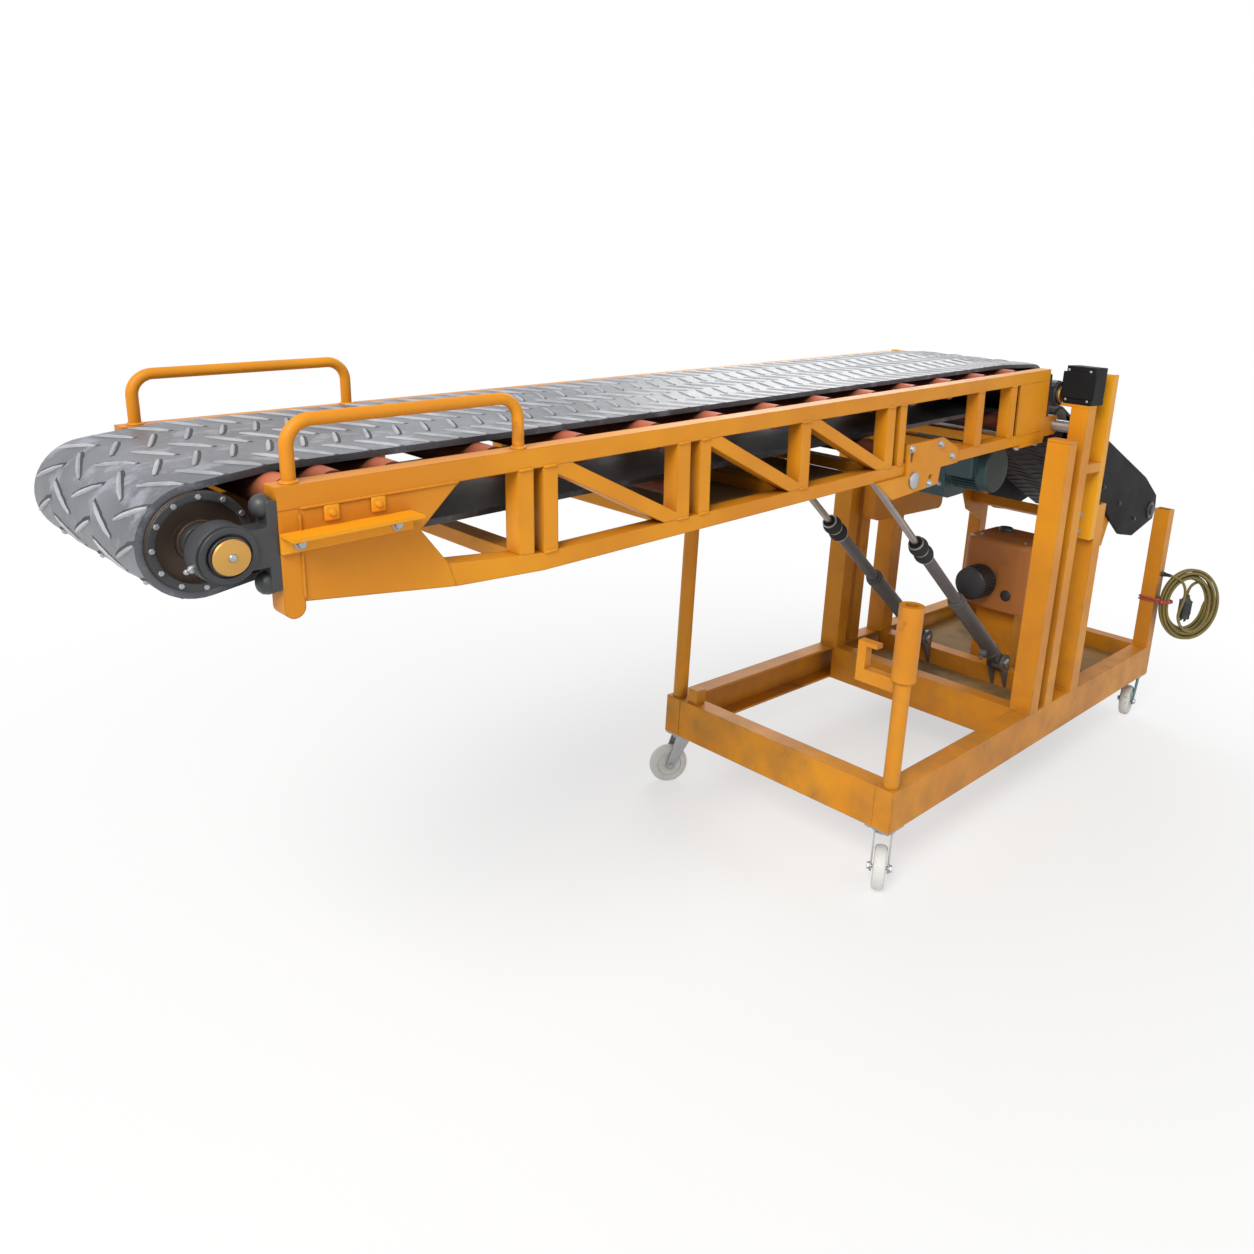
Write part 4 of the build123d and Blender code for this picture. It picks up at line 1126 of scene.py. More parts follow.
    def _bearings(self) -> None:
        """Adds housing lips, ears and grease nipples of the bearing blocks, and the shaft centres."""
        dark = Shape()
        brass = Shape()
        bright = Shape()
        cap = ((0.0, 0.012), (0.0265, 0.012), (0.028, 0.0135), (0.0265, 0.016), (0.0, 0.0175))
        centre = ((0.0, 0.0172), (0.0065, 0.0172), (0.005, 0.0195), (0.0, 0.020))
        nipple = ((0.006, -0.002), (0.006, 0.004), (0.0035, 0.006), (0.0045, 0.010), (0.002, 0.013))
        reach = 0.046
        for end in End:
            s = self.beyond(end, self.drum_out)
            turn = math.radians(200 if end is End.HEAD else -20)
            stem = Vector((math.cos(turn) * reach, 0, math.sin(turn) * reach))
            for way in Side:
                mid = way * (self.half_w - self.frame_t / 2)
                face = self.spot(s, way * self.half_w, self.drum_n, (0, way, 0))
                dark.ring(0.033, 0.043, 0.006, face, 36)
                dark.ring(0.0255, 0.03, 0.009, face, 36)
                brass.lathe(cap, face, 36)
                bright.lathe(centre, face, 14)
                bright.lathe(nipple, self.spot(s + stem.x, mid, self.drum_n + stem.z, stem), 10)
                for n in (self.drum_n - self.ear, self.drum_n + self.ear):
                    ear = self.spot(self.beyond(end, self.ear_foot), mid, n, (end, 0, 0))
                    dark.lathe(self.ear_form, ear, 22)
        dark.make("bearing_lips", BLACK_IRON, Body.BOOM, Slot.IRON)
        brass.make("shaft_cap_discs", BRASS, Body.BOOM, Slot.BRASS)
        bright.make("bearing_nipples", ZINC, Body.BOOM, Slot.STEEL)

    def _head_pads(self) -> None:
        """Adds small square pads with a bolt, above the angle bars at the head."""
        pads = Shape()
        thick = self.pad[2]
        for way in Side:
            for s in self.pad_s:
                middle = way * (self.half_w + thick / 2)
                face = way * (self.half_w + thick)
                pads.box(self.pad, self.spot(s, middle, self.pad_n, (0, way, 0)), 0.002)
                pads.bolt(self.spot(s, face, self.pad_n, (0, way, 0)), self.pad_bolt)
        # Painted light: the pads take the lightened frame paint.
        pads.make("head_pads", LIT_PAINT, Body.BOOM, Slot.PAINT)


@dataclass
class BeltRoute:
    """Closed loop of a belt's outer face.

    Attributes:
        base: Frame of the loop's plane, with x and z in the loop and y across.
        line: Points of the loop in that plane, in order.
        skip: Places near which nothing is laid.
        clear: How far from these places nothing is laid.
        loop: The points as an array.
        step: Way from each point to the next.
        size: Length of each way.
        edges: Distance along the loop of each point.
    """

    base: Matrix
    line: Pairs
    skip: Pairs = ()
    clear: float = 0.05
    loop: np.ndarray = field(init=False)
    step: np.ndarray = field(init=False)
    size: np.ndarray = field(init=False)
    edges: np.ndarray = field(init=False)

    def __post_init__(self) -> None:
        """Measures the loop."""
        self.loop = np.array(self.line)
        self.step = np.roll(self.loop, -1, 0) - self.loop
        self.size = np.hypot(self.step[:, 0], self.step[:, 1])
        self.edges = np.concatenate(([0.0], np.cumsum(self.size)))

    def spot(self, along: float) -> tuple[np.ndarray, np.ndarray]:
        """Finds a place on the loop.

        Args:
            along: Distance along the loop.

        Returns:
            The place and the direction there.
        """
        here = along % self.edges[-1]
        i = min(int(np.searchsorted(self.edges, here, "right") - 1), len(self.size) - 1)
        ahead = self.step[i] / self.size[i]
        return self.loop[i] + ahead * (here - self.edges[i]), ahead

    def kept_clear(self, place: np.ndarray) -> bool:
        """Tells whether a place is too near to a roller on the outer face."""
        return any(math.hypot(place[0] - x, place[1] - z) < self.clear for x, z in self.skip)


@dataclass
class BeltBars:
    """Raised bars in a staggered herringbone, carried round a belt loop.

    Attributes:
        name: Object name.
        body: Body of the belt.
        rubber: Finish of the bars.
        half_w: Half width of the belt.
        pitch: Distance between rows.
        bar: Length, width and height of a bar.
        slant: Angle of a bar to the belt's width, in degrees.
        columns: Bars across the width.
        foot: Length, width and height of the painted shadow at a bar's foot.
        foot_shift: How far the painted shadow trails the bar.
        sunk: How far a bar's edges lie below the belt's face.
        shares: Places of a bar's sections along it.
    """

    name: str
    body: Body
    rubber: Finish = BAR_RUBBER
    half_w: float = 0.23
    pitch: float = 0.06
    bar: Point = (0.084, 0.0075, 0.0034)
    slant: float = 24.0
    columns: int = 5
    foot: Point = (0.09, 0.0125, 0.0007)
    foot_shift: float = 0.0035
    sunk: float = 0.0005
    shares: Sequence[float] = (-0.5, -0.25, 0.0, 0.25, 0.5)

    def build(self, route: BeltRoute) -> None:
        """Lays the bars along a loop.

        Args:
            route: The belt's loop.
        """
        total = float(route.size.sum())
        rows = int(total / self.pitch)
        gap = 2 * self.half_w / self.columns
        bars = Shape()
        feet = Shape()
        for row in range(rows):
            for column in range(self.columns):
                y = -self.half_w + gap * (column + 0.5)
                way = 1 if column % 2 else -1
                at = (row + (0.5 if column % 2 else 0.0)) * total / rows
                self._lay(bars, route, at, y, way, self.bar)
                # Painted shadow: a dark flat strip laid just behind each bar.
                self._lay(feet, route, at + self.foot_shift, y, way, self.foot)
        bars.make(self.name, self.rubber, self.body, Slot.RUBBER, 50)
        feet.make(f"{self.name}_painted_shadows", BAR_SHADOW, self.body, Slot.RUBBER, 50)

    def _lay(self, shape: Shape, route: BeltRoute, at: float, y: float, way: int, size: Point) -> None:
        """Lays one bar, bent to the loop in short spans.

        Args:
            shape: Mesh that takes the bar.
            route: The belt's loop.
            at: Place of the bar along the loop.
            y: Place across the belt.
            way: Side to which the bar slants.
            size: Length, width and height of the bar.
        """
        lean = math.tan(math.radians(self.slant)) * way
        points = []
        for share in self.shares:
            place, ahead = route.spot(at + share * size[0] * lean)
            if route.kept_clear(place):
                return
            out = np.array((-ahead[1], ahead[0]))
            tip = abs(share) == 0.5
            half = size[1] / 2 * (0.6 if tip else 1.0)
            tall = size[2] * (0.5 if tip else 1.0)
            for side, lift in ((-1.25, -self.sunk), (-0.7, tall), (0.7, tall), (1.25, -self.sunk)):
                p = place + ahead * side * half + out * lift
                points.append(route.base @ Vector((p[0], y + share * size[0], p[1])))
        shape.skin(points, 4, len(self.shares))


@dataclass
class Belts:
    """Belts of the boom and the feed section with their raised bars.

    Attributes:
        boom: The boom that carries the main belt.
        thick: Belt thickness with its running gap.
        idler_top: Top of the carrying idlers.
        first_idler: Place of the first idler along the boom.
        last_idler: Place of the last idler.
        return_n: Lower face of the return run, square to the boom.
        return_s: Places of the return idlers.
        feed_pitch: Slope of the feed section in degrees.
        feed_len: Distance between its drums.
        feed_r: Radius of its drums.
        arc_steps: Spans of the line round a drum.
    """

    boom: Boom
    thick: float = 0.0123
    idler_top: float = 0.002
    first_idler: float = 0.04
    last_idler: float = 2.498
    return_n: float = -0.1397
    return_s: Sequence[float] = (0.21, 0.958, 1.706, 2.454)
    feed_pitch: float = 23.6
    feed_len: float = 1.045
    feed_r: float = 0.06
    arc_steps: int = 24

    def feed_base(self) -> Matrix:
        """Sets up the feed section's frame, with x down the section and z square to it.

        Returns:
            The frame as a 4 by 4 matrix.
        """
        turn = Matrix.Rotation(math.radians(self.feed_pitch), 4, "Y")
        return Matrix.Translation(joint("feed_fold")) @ turn

    def dress(self) -> None:
        """Dresses both belts."""
        wear(BELT_RUBBER, "boom_belt")
        wear(BLACK_RUBBER, "feed_belt")
        boom = self.boom
        wrap = boom.drum_r + self.thick
        carry = self.idler_top + self.thick
        line = self._arc((boom.beyond(End.HEAD, boom.drum_out), boom.drum_n), wrap, 262, 92)
        line += [(self.first_idler, carry), (self.last_idler, carry)]
        line += self._arc((boom.beyond(End.TAIL, boom.drum_out), boom.drum_n), wrap, 88, -82)
        line += [(self.return_s[-1], self.return_n), (self.return_s[0], self.return_n)]
        skip = [(s, self.return_n) for s in self.return_s]
        BeltBars("boom_belt_bars", Body.BOOM).build(BeltRoute(boom.base(), line, skip))
        wrap = self.feed_r + self.thick
        line = self._arc((0, 0), wrap, 270, 90) + self._arc((self.feed_len, 0), wrap, 90, -90)
        BeltBars("feed_belt_bars", Body.FEED, BLACK_RUBBER).build(BeltRoute(self.feed_base(), line))

    def _arc(self, centre: Pair, radius: float, start: float, end: float) -> list[Pair]:
        """Draws an arc.

        Args:
            centre: Centre of the arc.
            radius: Radius of the arc.
            start: Angle of its first point, in degrees.
            end: Angle of its last point, in degrees.

        Returns:
            Points of the arc in order.
        """
        turn = (end - start) / self.arc_steps
        angles = [math.radians(start + turn * i) for i in range(self.arc_steps + 1)]
        return [(centre[0] + radius * math.cos(a), centre[1] + radius * math.sin(a)) for a in angles]


@dataclass
class Drive:
    """Gear motor under the boom's tail.

    Attributes:
        boom: The boom that carries it.
        s: Place along the boom.
        y: Place of the gearbox across.
        gear: Lengths of the gearbox.
        raised: How far the gearbox reaches up between the hanger's plates.
        fin_r: Distance of the fins' middle from the motor's axis.
        fin: Lengths of a fin.
        fins: Number of fins.
        fin_y: Distance of the fins' middle from the gearbox.
        cover_y: Distance of the fan cover from the gearbox.
        cover: Profile of the fan cover.
        terminals: Lengths of the terminal box.
        terminals_at: Its place from the motor's axis and the gearbox, s, y and n.
        bolt_s: Gearbox bolts from its middle along the boom.
        bolt_n: Gearbox bolts from its middle square to the boom.
        back_bolt: Bolts on the gearbox's far face.
        front_bolt: Bolts on its face towards the head.
    """

    boom: Boom
    s: float = 2.574
    y: float = 0.01
    gear: Point = (0.15, 0.13, 0.23)
    raised: float = 0.01
    fin_r: float = 0.081
    fin: Point = (0.012, 0.1, 0.0032)
    fins: int = 36
    fin_y: float = 0.068
    cover_y: float = 0.118
    cover: Profile = ((0.083, 0), (0.083, 0.036), (0.078, 0.042), (0.03, 0.043), (0.0, 0.043))
    terminals: Point = (0.1, 0.08, 0.05)
    terminals_at: Point = (-0.085, -0.07, 0.015)
    bolt_s: Sequence[float] = (-0.055, 0.055)
    bolt_n: Sequence[float] = (-0.07, 0.08)
    back_bolt: Bolt = Bolt(0.008, 0.007)
    front_bolt: Bolt = Bolt(0.007, 0.006)

    def dress(self) -> None:
        """Adds cooling fins, a terminal box, a fan cover, a shaft ring and gearbox bolts."""
        wear(MOTOR_TEAL, "gear_motor")
        boom = self.boom
        level = -boom.depth - boom.hanger_t - self.gear[2] / 2 + self.raised
        face = self.y - self.gear[1] / 2
        back = self.y + self.gear[1] / 2
        trim = Shape()
        for a in round_angles(self.fins):
            s = self.s + self.fin_r * math.cos(a)
            n = level + self.fin_r * math.sin(a)
            fin = Matrix.Translation((s, face - self.fin_y, n)) @ Matrix.Rotation(-a, 4, "Y")
            trim.box(self.fin, boom.base() @ fin, 0.0012)
        trim.lathe(self.cover, boom.spot(self.s, face - self.cover_y, level, (0, -1, 0)), 32)
        ds, dy, dn = self.terminals_at
        trim.box(self.terminals, boom.spot(self.s + ds, face + dy, level + dn, FORWARD), 0.006)
        trim.ring(0.03, 0.052, 0.014, boom.spot(self.s, back, level, (0, 1, 0)), 28)
        trim.make("motor_fins", MOTOR_TEAL, Body.BOOM, Slot.TEAL)
        bolts = Shape()
        for ds in self.bolt_s:
            for dn in self.bolt_n:
                bolts.bolt(boom.spot(self.s + ds, back, level + dn, (0, 1, 0)), self.back_bolt)
                front = boom.spot(self.s - self.gear[0] / 2, self.y + ds * 0.8, level + dn, FORWARD)
                bolts.bolt(front, self.front_bolt)
        bolts.make("gear_bolts", ZINC, Body.BOOM, Slot.STEEL)


@dataclass
class LiftCylinders:
    """The two lift cylinders from their base pins to the eye shaft.

    Attributes:
        boom: The boom that they lift.
        y: Half distance between the cylinders.
        barrel: Share of the length taken by the barrel.
        stage: Share taken up to the boots.
        collar_at: Distance of the lower collar from the base pin.
        port_at: Distance of the oil port from the base pin.
        clamps: Places of the boot clamps from the first boot.
        clamp_w: Width of a boot clamp.
        keeper_y: Distance of the pin keepers from a cylinder's middle.
    """

    boom: Boom
    y: float = 0.174
    barrel: float = 0.38
    stage: float = 0.612
    collar_at: float = 0.09
    port_at: float = 0.15
    clamps: Sequence[float] = (0.0, 0.048, 0.096)
    clamp_w: float = 0.006
    keeper_y: float = 0.033

    def dress(self) -> None:
        """Adds collars, port blocks, boot clamps and pin keepers."""
        wear(BARREL_GREY, "cylinder_barrels", "cylinder_brackets")
        wear(BLACK_RUBBER, "cylinder_boots")
        wear(ROD_CHROME, "cylinder_rods")
        wear(ZINC, "hinge_pins")
        pin = joint("cylinder_swing")
        top = self.boom.base() @ Vector((self.boom.eye[0], 0, self.boom.eye[1]))
        length = (top - pin).length
        way = (top - pin).normalized()
        side = way.cross(Vector((0, 1, 0))).normalized()
        rings = Shape()
        clamps = Shape()
        keepers = Shape()
        for hand in Side:
            foot = pin + Vector((0, hand * self.y, 0))
            rings.ring(0.0207, 0.0283, 0.012, turn_to(way, foot + way * length * self.barrel), 32)
            rings.ring(0.0285, 0.0315, 0.014, turn_to(way, foot + way * self.collar_at), 32)
            port = foot + way * self.port_at
            rings.box((0.026, 0.026, 0.03), turn_to(side, port + side * 0.034), 0.003)
            nut = ((0.008, 0), (0.008, 0.012), (0.006, 0.014))
            rings.lathe(nut, turn_to(side, port + side * 0.048), 6)
            for share in self.clamps:
                along = length * self.stage + share - self.clamp_w / 2
                clamps.ring(0.0225, 0.0262, self.clamp_w, turn_to(way, foot + way * along), 28)
            for out in Side:
                place = foot + Vector((0, out * self.keeper_y, 0))
                keeper = ((0.019, 0), (0.019, 0.005), (0.016, 0.007))
                keepers.lathe(keeper, turn_to((0, out, 0), place), 20)
        rings.make("cylinder_rings", BARREL_GREY, Body.BARRELS, Slot.BARREL)
        clamps.make("boot_clamps", ZINC, Body.BARRELS, Slot.ZINC)
        keepers.make("pin_keepers", ZINC, Body.CHASSIS, Slot.STEEL)


@dataclass
class BaseFrame:
    """Base rails, posts, sleeve and boxes of the chassis.

    Attributes:
        front: Front face of the base.
        length: Length of the base.
        half_w: Half width of the base.
        top: Top of the rails.
        height: Height of the rails.
        beam_w: Width of the rails.
        posts: Width across of each kind of post.
        bead_r: Radius of the weld beads.
        tab_z: Heights of the beads at the channels' tabs.
        tab_y: Ends across of these beads.
        plate_t: Thickness of the plates on the rails' ends.
        plate_inset: How far a plate stays inside the rail's outline.
        plate_proud: How far a plate stands out of the rail.
        channel_y: Place across of the channels' bolts.
        channel_z: Heights of the channels' bolts.
        channel_bolt: Bolts of the channels.
        pivot_y: Place across of the caps on the boom's pivot.
        fold_y: Place across of the caps on the feed section's pivot.
    """

    front: float
    length: float = 2.082
    half_w: float = 0.46
    top: float = 0.311
    height: float = 0.131
    beam_w: float = 0.062
    posts: Sequence[tuple[str, float]] = (
        ("front_posts", 0.08),
        ("rear_posts", 0.08),
        ("pivot_posts", 0.062),
        ("rear_corner_posts", 0.062),
    )
    bead_r: float = 0.004
    tab_z: Sequence[float] = (1.158, 1.192)
    tab_y: Pair = (0.4, 0.458)
    plate_t: float = 0.005
    plate_inset: float = 0.0004
    plate_proud: float = 0.0008
    channel_y: float = 0.41
    channel_z: Sequence[float] = (0.93, 0.99)
    channel_bolt: Bolt = Bolt(0.01, 0.008)
    pivot_y: float = 0.29
    fold_y: float = 0.285

    def dress(self) -> None:
        """Dresses the base, the posts, the boxes and the feed lugs."""
        wear(PAINT, "base_rails", "base_crossbeams", *(node for node, _ in self.posts))
        wear(PAINT, "post_caps", "channel_tabs", "feed_lugs", "corner_tubes", "corner_sleeve")
        wear(PAINT, "unit_stand", "far_side_box")
        # Painted light: the side channels take the lightened frame paint.
        wear(LIT_PAINT, "side_channels")
        wear(PAN_STEEL, "base_floor")
        wear(BLACK_PANEL_AND_SHADE, "switch_box")
        self._welds()
        self._bolts()
        self._end_plates()
        self._switch_lid()

    def _welds(self) -> None:
        """Adds weld beads round the feet of the posts, at the corners of the base and at the tabs."""
        beads = Shape()
        z = self.top
        for node, width in self.posts:
            low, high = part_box(node)
            for way in Side:
                inner = (self.half_w - width) * way
                out = way * self.half_w
                for x in (low.x, high.x):
                    beads.weld((x, inner, z), (x, out, z), self.bead_r)
                beads.weld((low.x, inner, z), (high.x, inner, z), self.bead_r)
        for x in (self.front + self.beam_w, self.front + self.length - self.beam_w):
            for way in Side:
                y = way * (self.half_w - self.beam_w)
                beads.weld((x, y, z - self.height + 0.012), (x, y, z - 0.004), self.bead_r)
        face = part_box("side_channels")[0].x - 0.001
        for way in Side:
            ends = [way * y for y in self.tab_y]
            for level in self.tab_z:
                beads.weld((face, ends[0], level), (face, ends[1], level), 0.003)
        beads.make("base_weld_beads", PAINT, Body.CHASSIS, Slot.PAINT, 60)

    def _end_plates(self) -> None:
        """Closes the open ends of the rails with welded plates."""
        plates = Shape()
        lip = 2 * self.plate_inset
        size = (self.plate_t, self.beam_w - lip, self.height - lip)
        depth = self.plate_t / 2 - self.plate_proud
        for x in (self.front + depth, self.front + self.length - depth):
            for way in Side:
                y = way * (self.half_w - self.beam_w / 2)
                plates.box(size, Matrix.Translation((x, y, self.top - self.height / 2)))
        plates.make("rail_end_plates", PAINT, Body.CHASSIS, Slot.PAINT)

    def _switch_lid(self) -> None:
        """Adds a raised lid with screws and a cable gland to the switch box."""
        low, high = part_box("switch_box")
        mid = (low + high) / 2
        thick = 0.006
        margin = 0.012
        lid = Shape()
        size = (high.z - low.z - margin, high.y - low.y - margin, thick)
        lid.box(size, turn_to(FORWARD, (low.x - thick / 2, mid.y, mid.z)), 0.003)
        gland = turn_to(DOWN, (mid.x + 0.03, mid.y, low.z + 0.001))
        lid.lathe(((0.014, 0.0), (0.014, 0.01), (0.011, 0.016)), gland, 16)
        lid.make("switch_box_lid", BLACK_PANEL_AND_SHADE, Body.CHASSIS, Slot.IRON)
        screws = Shape()
        head = ((0.0045, 0.0), (0.0045, 0.002), (0.003, 0.0032))
        for dy in (-0.038, 0.038):
            for dz in (-0.05, 0.05):
                spot = turn_to(FORWARD, (low.x - thick, mid.y + dy, mid.z + dz))
                screws.lathe(head, spot, 14)
        screws.make("switch_box_screws", ZINC, Body.CHASSIS, Slot.STEEL)

    def _bolts(self) -> None:
        """Adds the caps on both pivots and the bolts of the channels."""
        bolts = Shape()
        pivot = joint("boom_lift")
        fold = joint("feed_fold")
        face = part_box("side_channels")[0].x
        pivot_cap = ((0.03, 0), (0.03, 0.008), (0.026, 0.01))
        fold_cap = ((0.025, 0), (0.025, 0.006), (0.02, 0.008))
        for way in Side:
            inward = (0, -way, 0)
            bolts.lathe(pivot_cap, turn_to(inward, (pivot.x, way * self.pivot_y, pivot.z)), 24)
            bolts.lathe(fold_cap, turn_to(inward, (fold.x, way * self.fold_y, fold.z)), 24)
            for z in self.channel_z:
                bolts.bolt(turn_to(FORWARD, (face, way * self.channel_y, z)), self.channel_bolt)
        bolts.make("chassis_bolts", ZINC, Body.CHASSIS, Slot.STEEL)


@dataclass
class PowerUnit:
    """Tank with pump motor on the base.

    Attributes:
        node: Tank solid.
        motor: Motor solid.
        filler: Profile of the filler cap.
        sight: Profile of the sight glass.
        fin: Lengths of a motor fin.
        fins: Number of motor fins.
        lid_bolt_y: Distance of the lid's bolts from the tank's sides.
        lid_bolt_x: Distance of the lid's bolts from the tank's front and back.
        lid_bolt: Bolts of the lid.
    """

    node: str = "power_unit"
    motor: str = "unit_motor"
    filler: Profile = ((0.03, 0), (0.03, 0.012), (0.026, 0.018), (0.012, 0.021))
    sight: Profile = ((0.022, 0), (0.022, 0.004), (0.014, 0.006))
    fin: Point = (0.075, 0.009, 0.003)
    fins: int = 30
    lid_bolt_y: float = 0.05
    lid_bolt_x: float = 0.06
    lid_bolt: Bolt = Bolt(0.006, 0.005)

    def dress(self) -> None:
        """Adds a filler cap, a sight glass, motor fins, a motor cover and lid bolts."""
        # Painted shade: the tank takes the darkened frame paint.
        wear(SHADED_PAINT, self.node)
        wear(BLACK_IRON, self.motor)
        low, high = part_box(self.node)
        mid = (low + high) / 2
        trim = Shape()
        trim.lathe(self.filler, turn_to(UP, (mid.x + 0.05, mid.y + 0.06, high.z)), 28)
        trim.lathe(self.sight, turn_to(FORWARD, (low.x, mid.y - 0.07, low.z + 0.07)), 24)
        self._motor_trim(trim)
        trim.make("power_unit_trim", BLACK_IRON, Body.CHASSIS, Slot.IRON)
        bolts = Shape()
        for y in (low.y + self.lid_bolt_y, high.y - self.lid_bolt_y):
            for x in (low.x + self.lid_bolt_x, high.x - self.lid_bolt_x):
                bolts.bolt(turn_to(UP, (x, y, high.z - 0.001)), self.lid_bolt)
        bolts.make("power_unit_bolts", ZINC, Body.CHASSIS, Slot.STEEL)

    def _motor_trim(self, trim: Shape) -> None:
        """Adds the motor's fins and its end cover.

        Args:
            trim: Mesh that takes them.
        """
        low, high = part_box(self.motor)
        mid = (low + high) / 2
        radius = (high.z - low.z) / 2
        reach = radius + 0.002
        for a in round_angles(self.fins):
            place = (mid.x, mid.y + reach * math.cos(a), mid.z + reach * math.sin(a))
            trim.box(self.fin, Matrix.Translation(place) @ Matrix.Rotation(a, 4, "X"), 0.001)
        rim = radius + 0.003
        cover = ((rim, 0), (rim, 0.012), (radius - 0.006, 0.018), (0.0, 0.018))
        trim.lathe(cover, turn_to(FORWARD, (low.x + 0.004, mid.y, mid.z)), 30)


@dataclass
class FeedSection:
    """Feed section behind the tower.

    Attributes:
        belts: Belts that give its frame and its length.
        half_w: Half width over its panels.
        bolt_s: Places of the panels' bolts along it.
        bolt_n: Panels' bolts square to it.
        bolt: Bolts of the panels.
        cap: Profile of a bearing cap.
    """

    belts: Belts
    half_w: float = 0.3
    bolt_s: Sequence[float] = (0.2, 0.44, 0.66, 0.88)
    bolt_n: float = -0.09
    bolt: Bolt = Bolt(0.008, 0.006)
    cap: Profile = ((0.038, 0), (0.038, 0.006), (0.024, 0.009), (0.024, 0.014), (0.02, 0.016))

    def dress(self) -> None:
        """Puts finishes on the panels and adds their bolts and bearing caps."""
        # Painted shade: the feed panels are near-black where the inside of the feed belt lies in shade.
        wear(BLACK_PANEL_AND_SHADE, "feed_panels")
        wear(DRUM_STEEL, "feed_drums")
        wear(PAINT, "feed_edges")
        bolts = Shape()
        base = self.belts.feed_base()
        for way in Side:
            y = way * self.half_w
            for s in self.bolt_s:
                bolts.bolt(base @ turn_to((0, way, 0), (s, y, self.bolt_n)), self.bolt)
            bolts.lathe(self.cap, base @ turn_to((0, way, 0), (self.belts.feed_len, y, 0)), 28)
        bolts.make("feed_bolts", BLACK_IRON, Body.FEED, Slot.IRON)


@dataclass
class Caster:
    """One swivel caster.

    Attributes:
        name: Corner of the base.
        fork: Finish of the fork.
        band: Finish of the wheel's middle disc.
        wheel_w: Wheel width.
        form: Radius and share of the half width of the wheel's profile, from the bore to the tread.
        bolt_gap: Distance of the plate's bolts from the swivel.
        plate_z: Lower face of the plate.
        plate_bolt: Bolts of the plate.
        axle_bolt: Ends of the axle.
    """

    name: str
    fork: Finish = ZINC
    band: Finish = WHEEL_NYLON
    wheel_w: float = 0.038
    form: Profile = (
        (0.0062, 0.95),
        (0.02, 0.95),
        (0.021, 0.7),
        (0.04, 0.66),
        (0.043, 0.92),
        (0.055, 1.0),
        (0.062, 0.82),
        (0.065, 0.4),
    )
    bolt_gap: float = 0.032
    plate_z: float = 0.174
    plate_bolt: Bolt = Bolt(0.0065, 0.005, False)
    axle_bolt: Bolt = Bolt(0.0105, 0.007)

    def dress(self) -> None:
        """Builds the rounded wheel, its disc, the swivel race and the bolts."""
        wear(self.fork, f"caster_fork_{self.name}")
        body = f"wheel_{self.name}"
        swivel = joint(f"swivel_{self.name}")
        wheel = joint(f"roll_{self.name}")
        axis = Vector(next(j["axis"] for j in frame["joints"] if j["name"] == f"roll_{self.name}"))
        half = self.wheel_w / 2
        profile = [(r, -half * share) for r, share in self.form]
        profile += [(r, half * share) for r, share in reversed(self.form)]
        tyre = Shape().lathe(profile, turn_to(axis, wheel), 56)
        made = tyre.make(f"wheel_{self.name}", WHEEL_NYLON, body, Slot.NYLON, 40)
        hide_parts(f"caster_wheel_{self.name}")
        disc = Shape()
        race = Shape()
        race.ring(0.026, 0.0345, 0.005, turn_to(UP, swivel - Vector((0, 0, 0.0105))), 36)
        for way in Side:
            out = axis * way
            disc.ring(0.0215, 0.0395, 0.001, turn_to(out, wheel + out * (half * 0.67)), 40)
            race.bolt(turn_to(out, wheel + out * (half + 0.009)), self.axle_bolt)
        disc.make(f"wheel_disc_{self.name}", self.band, body, Slot.NYLON, 40)
        race.make(f"fork_fittings_{self.name}", ZINC, f"fork_{self.name}", Slot.ZINC)
        bolts = Shape()
        for dx in (-self.bolt_gap, self.bolt_gap):
            for dy in (-self.bolt_gap, self.bolt_gap):
                spot = turn_to(DOWN, (swivel.x + dx, swivel.y + dy, self.plate_z))
                bolts.bolt(spot, self.plate_bolt)
        bolts.make(f"caster_bolts_{self.name}", ZINC, Body.CHASSIS, Slot.STEEL)


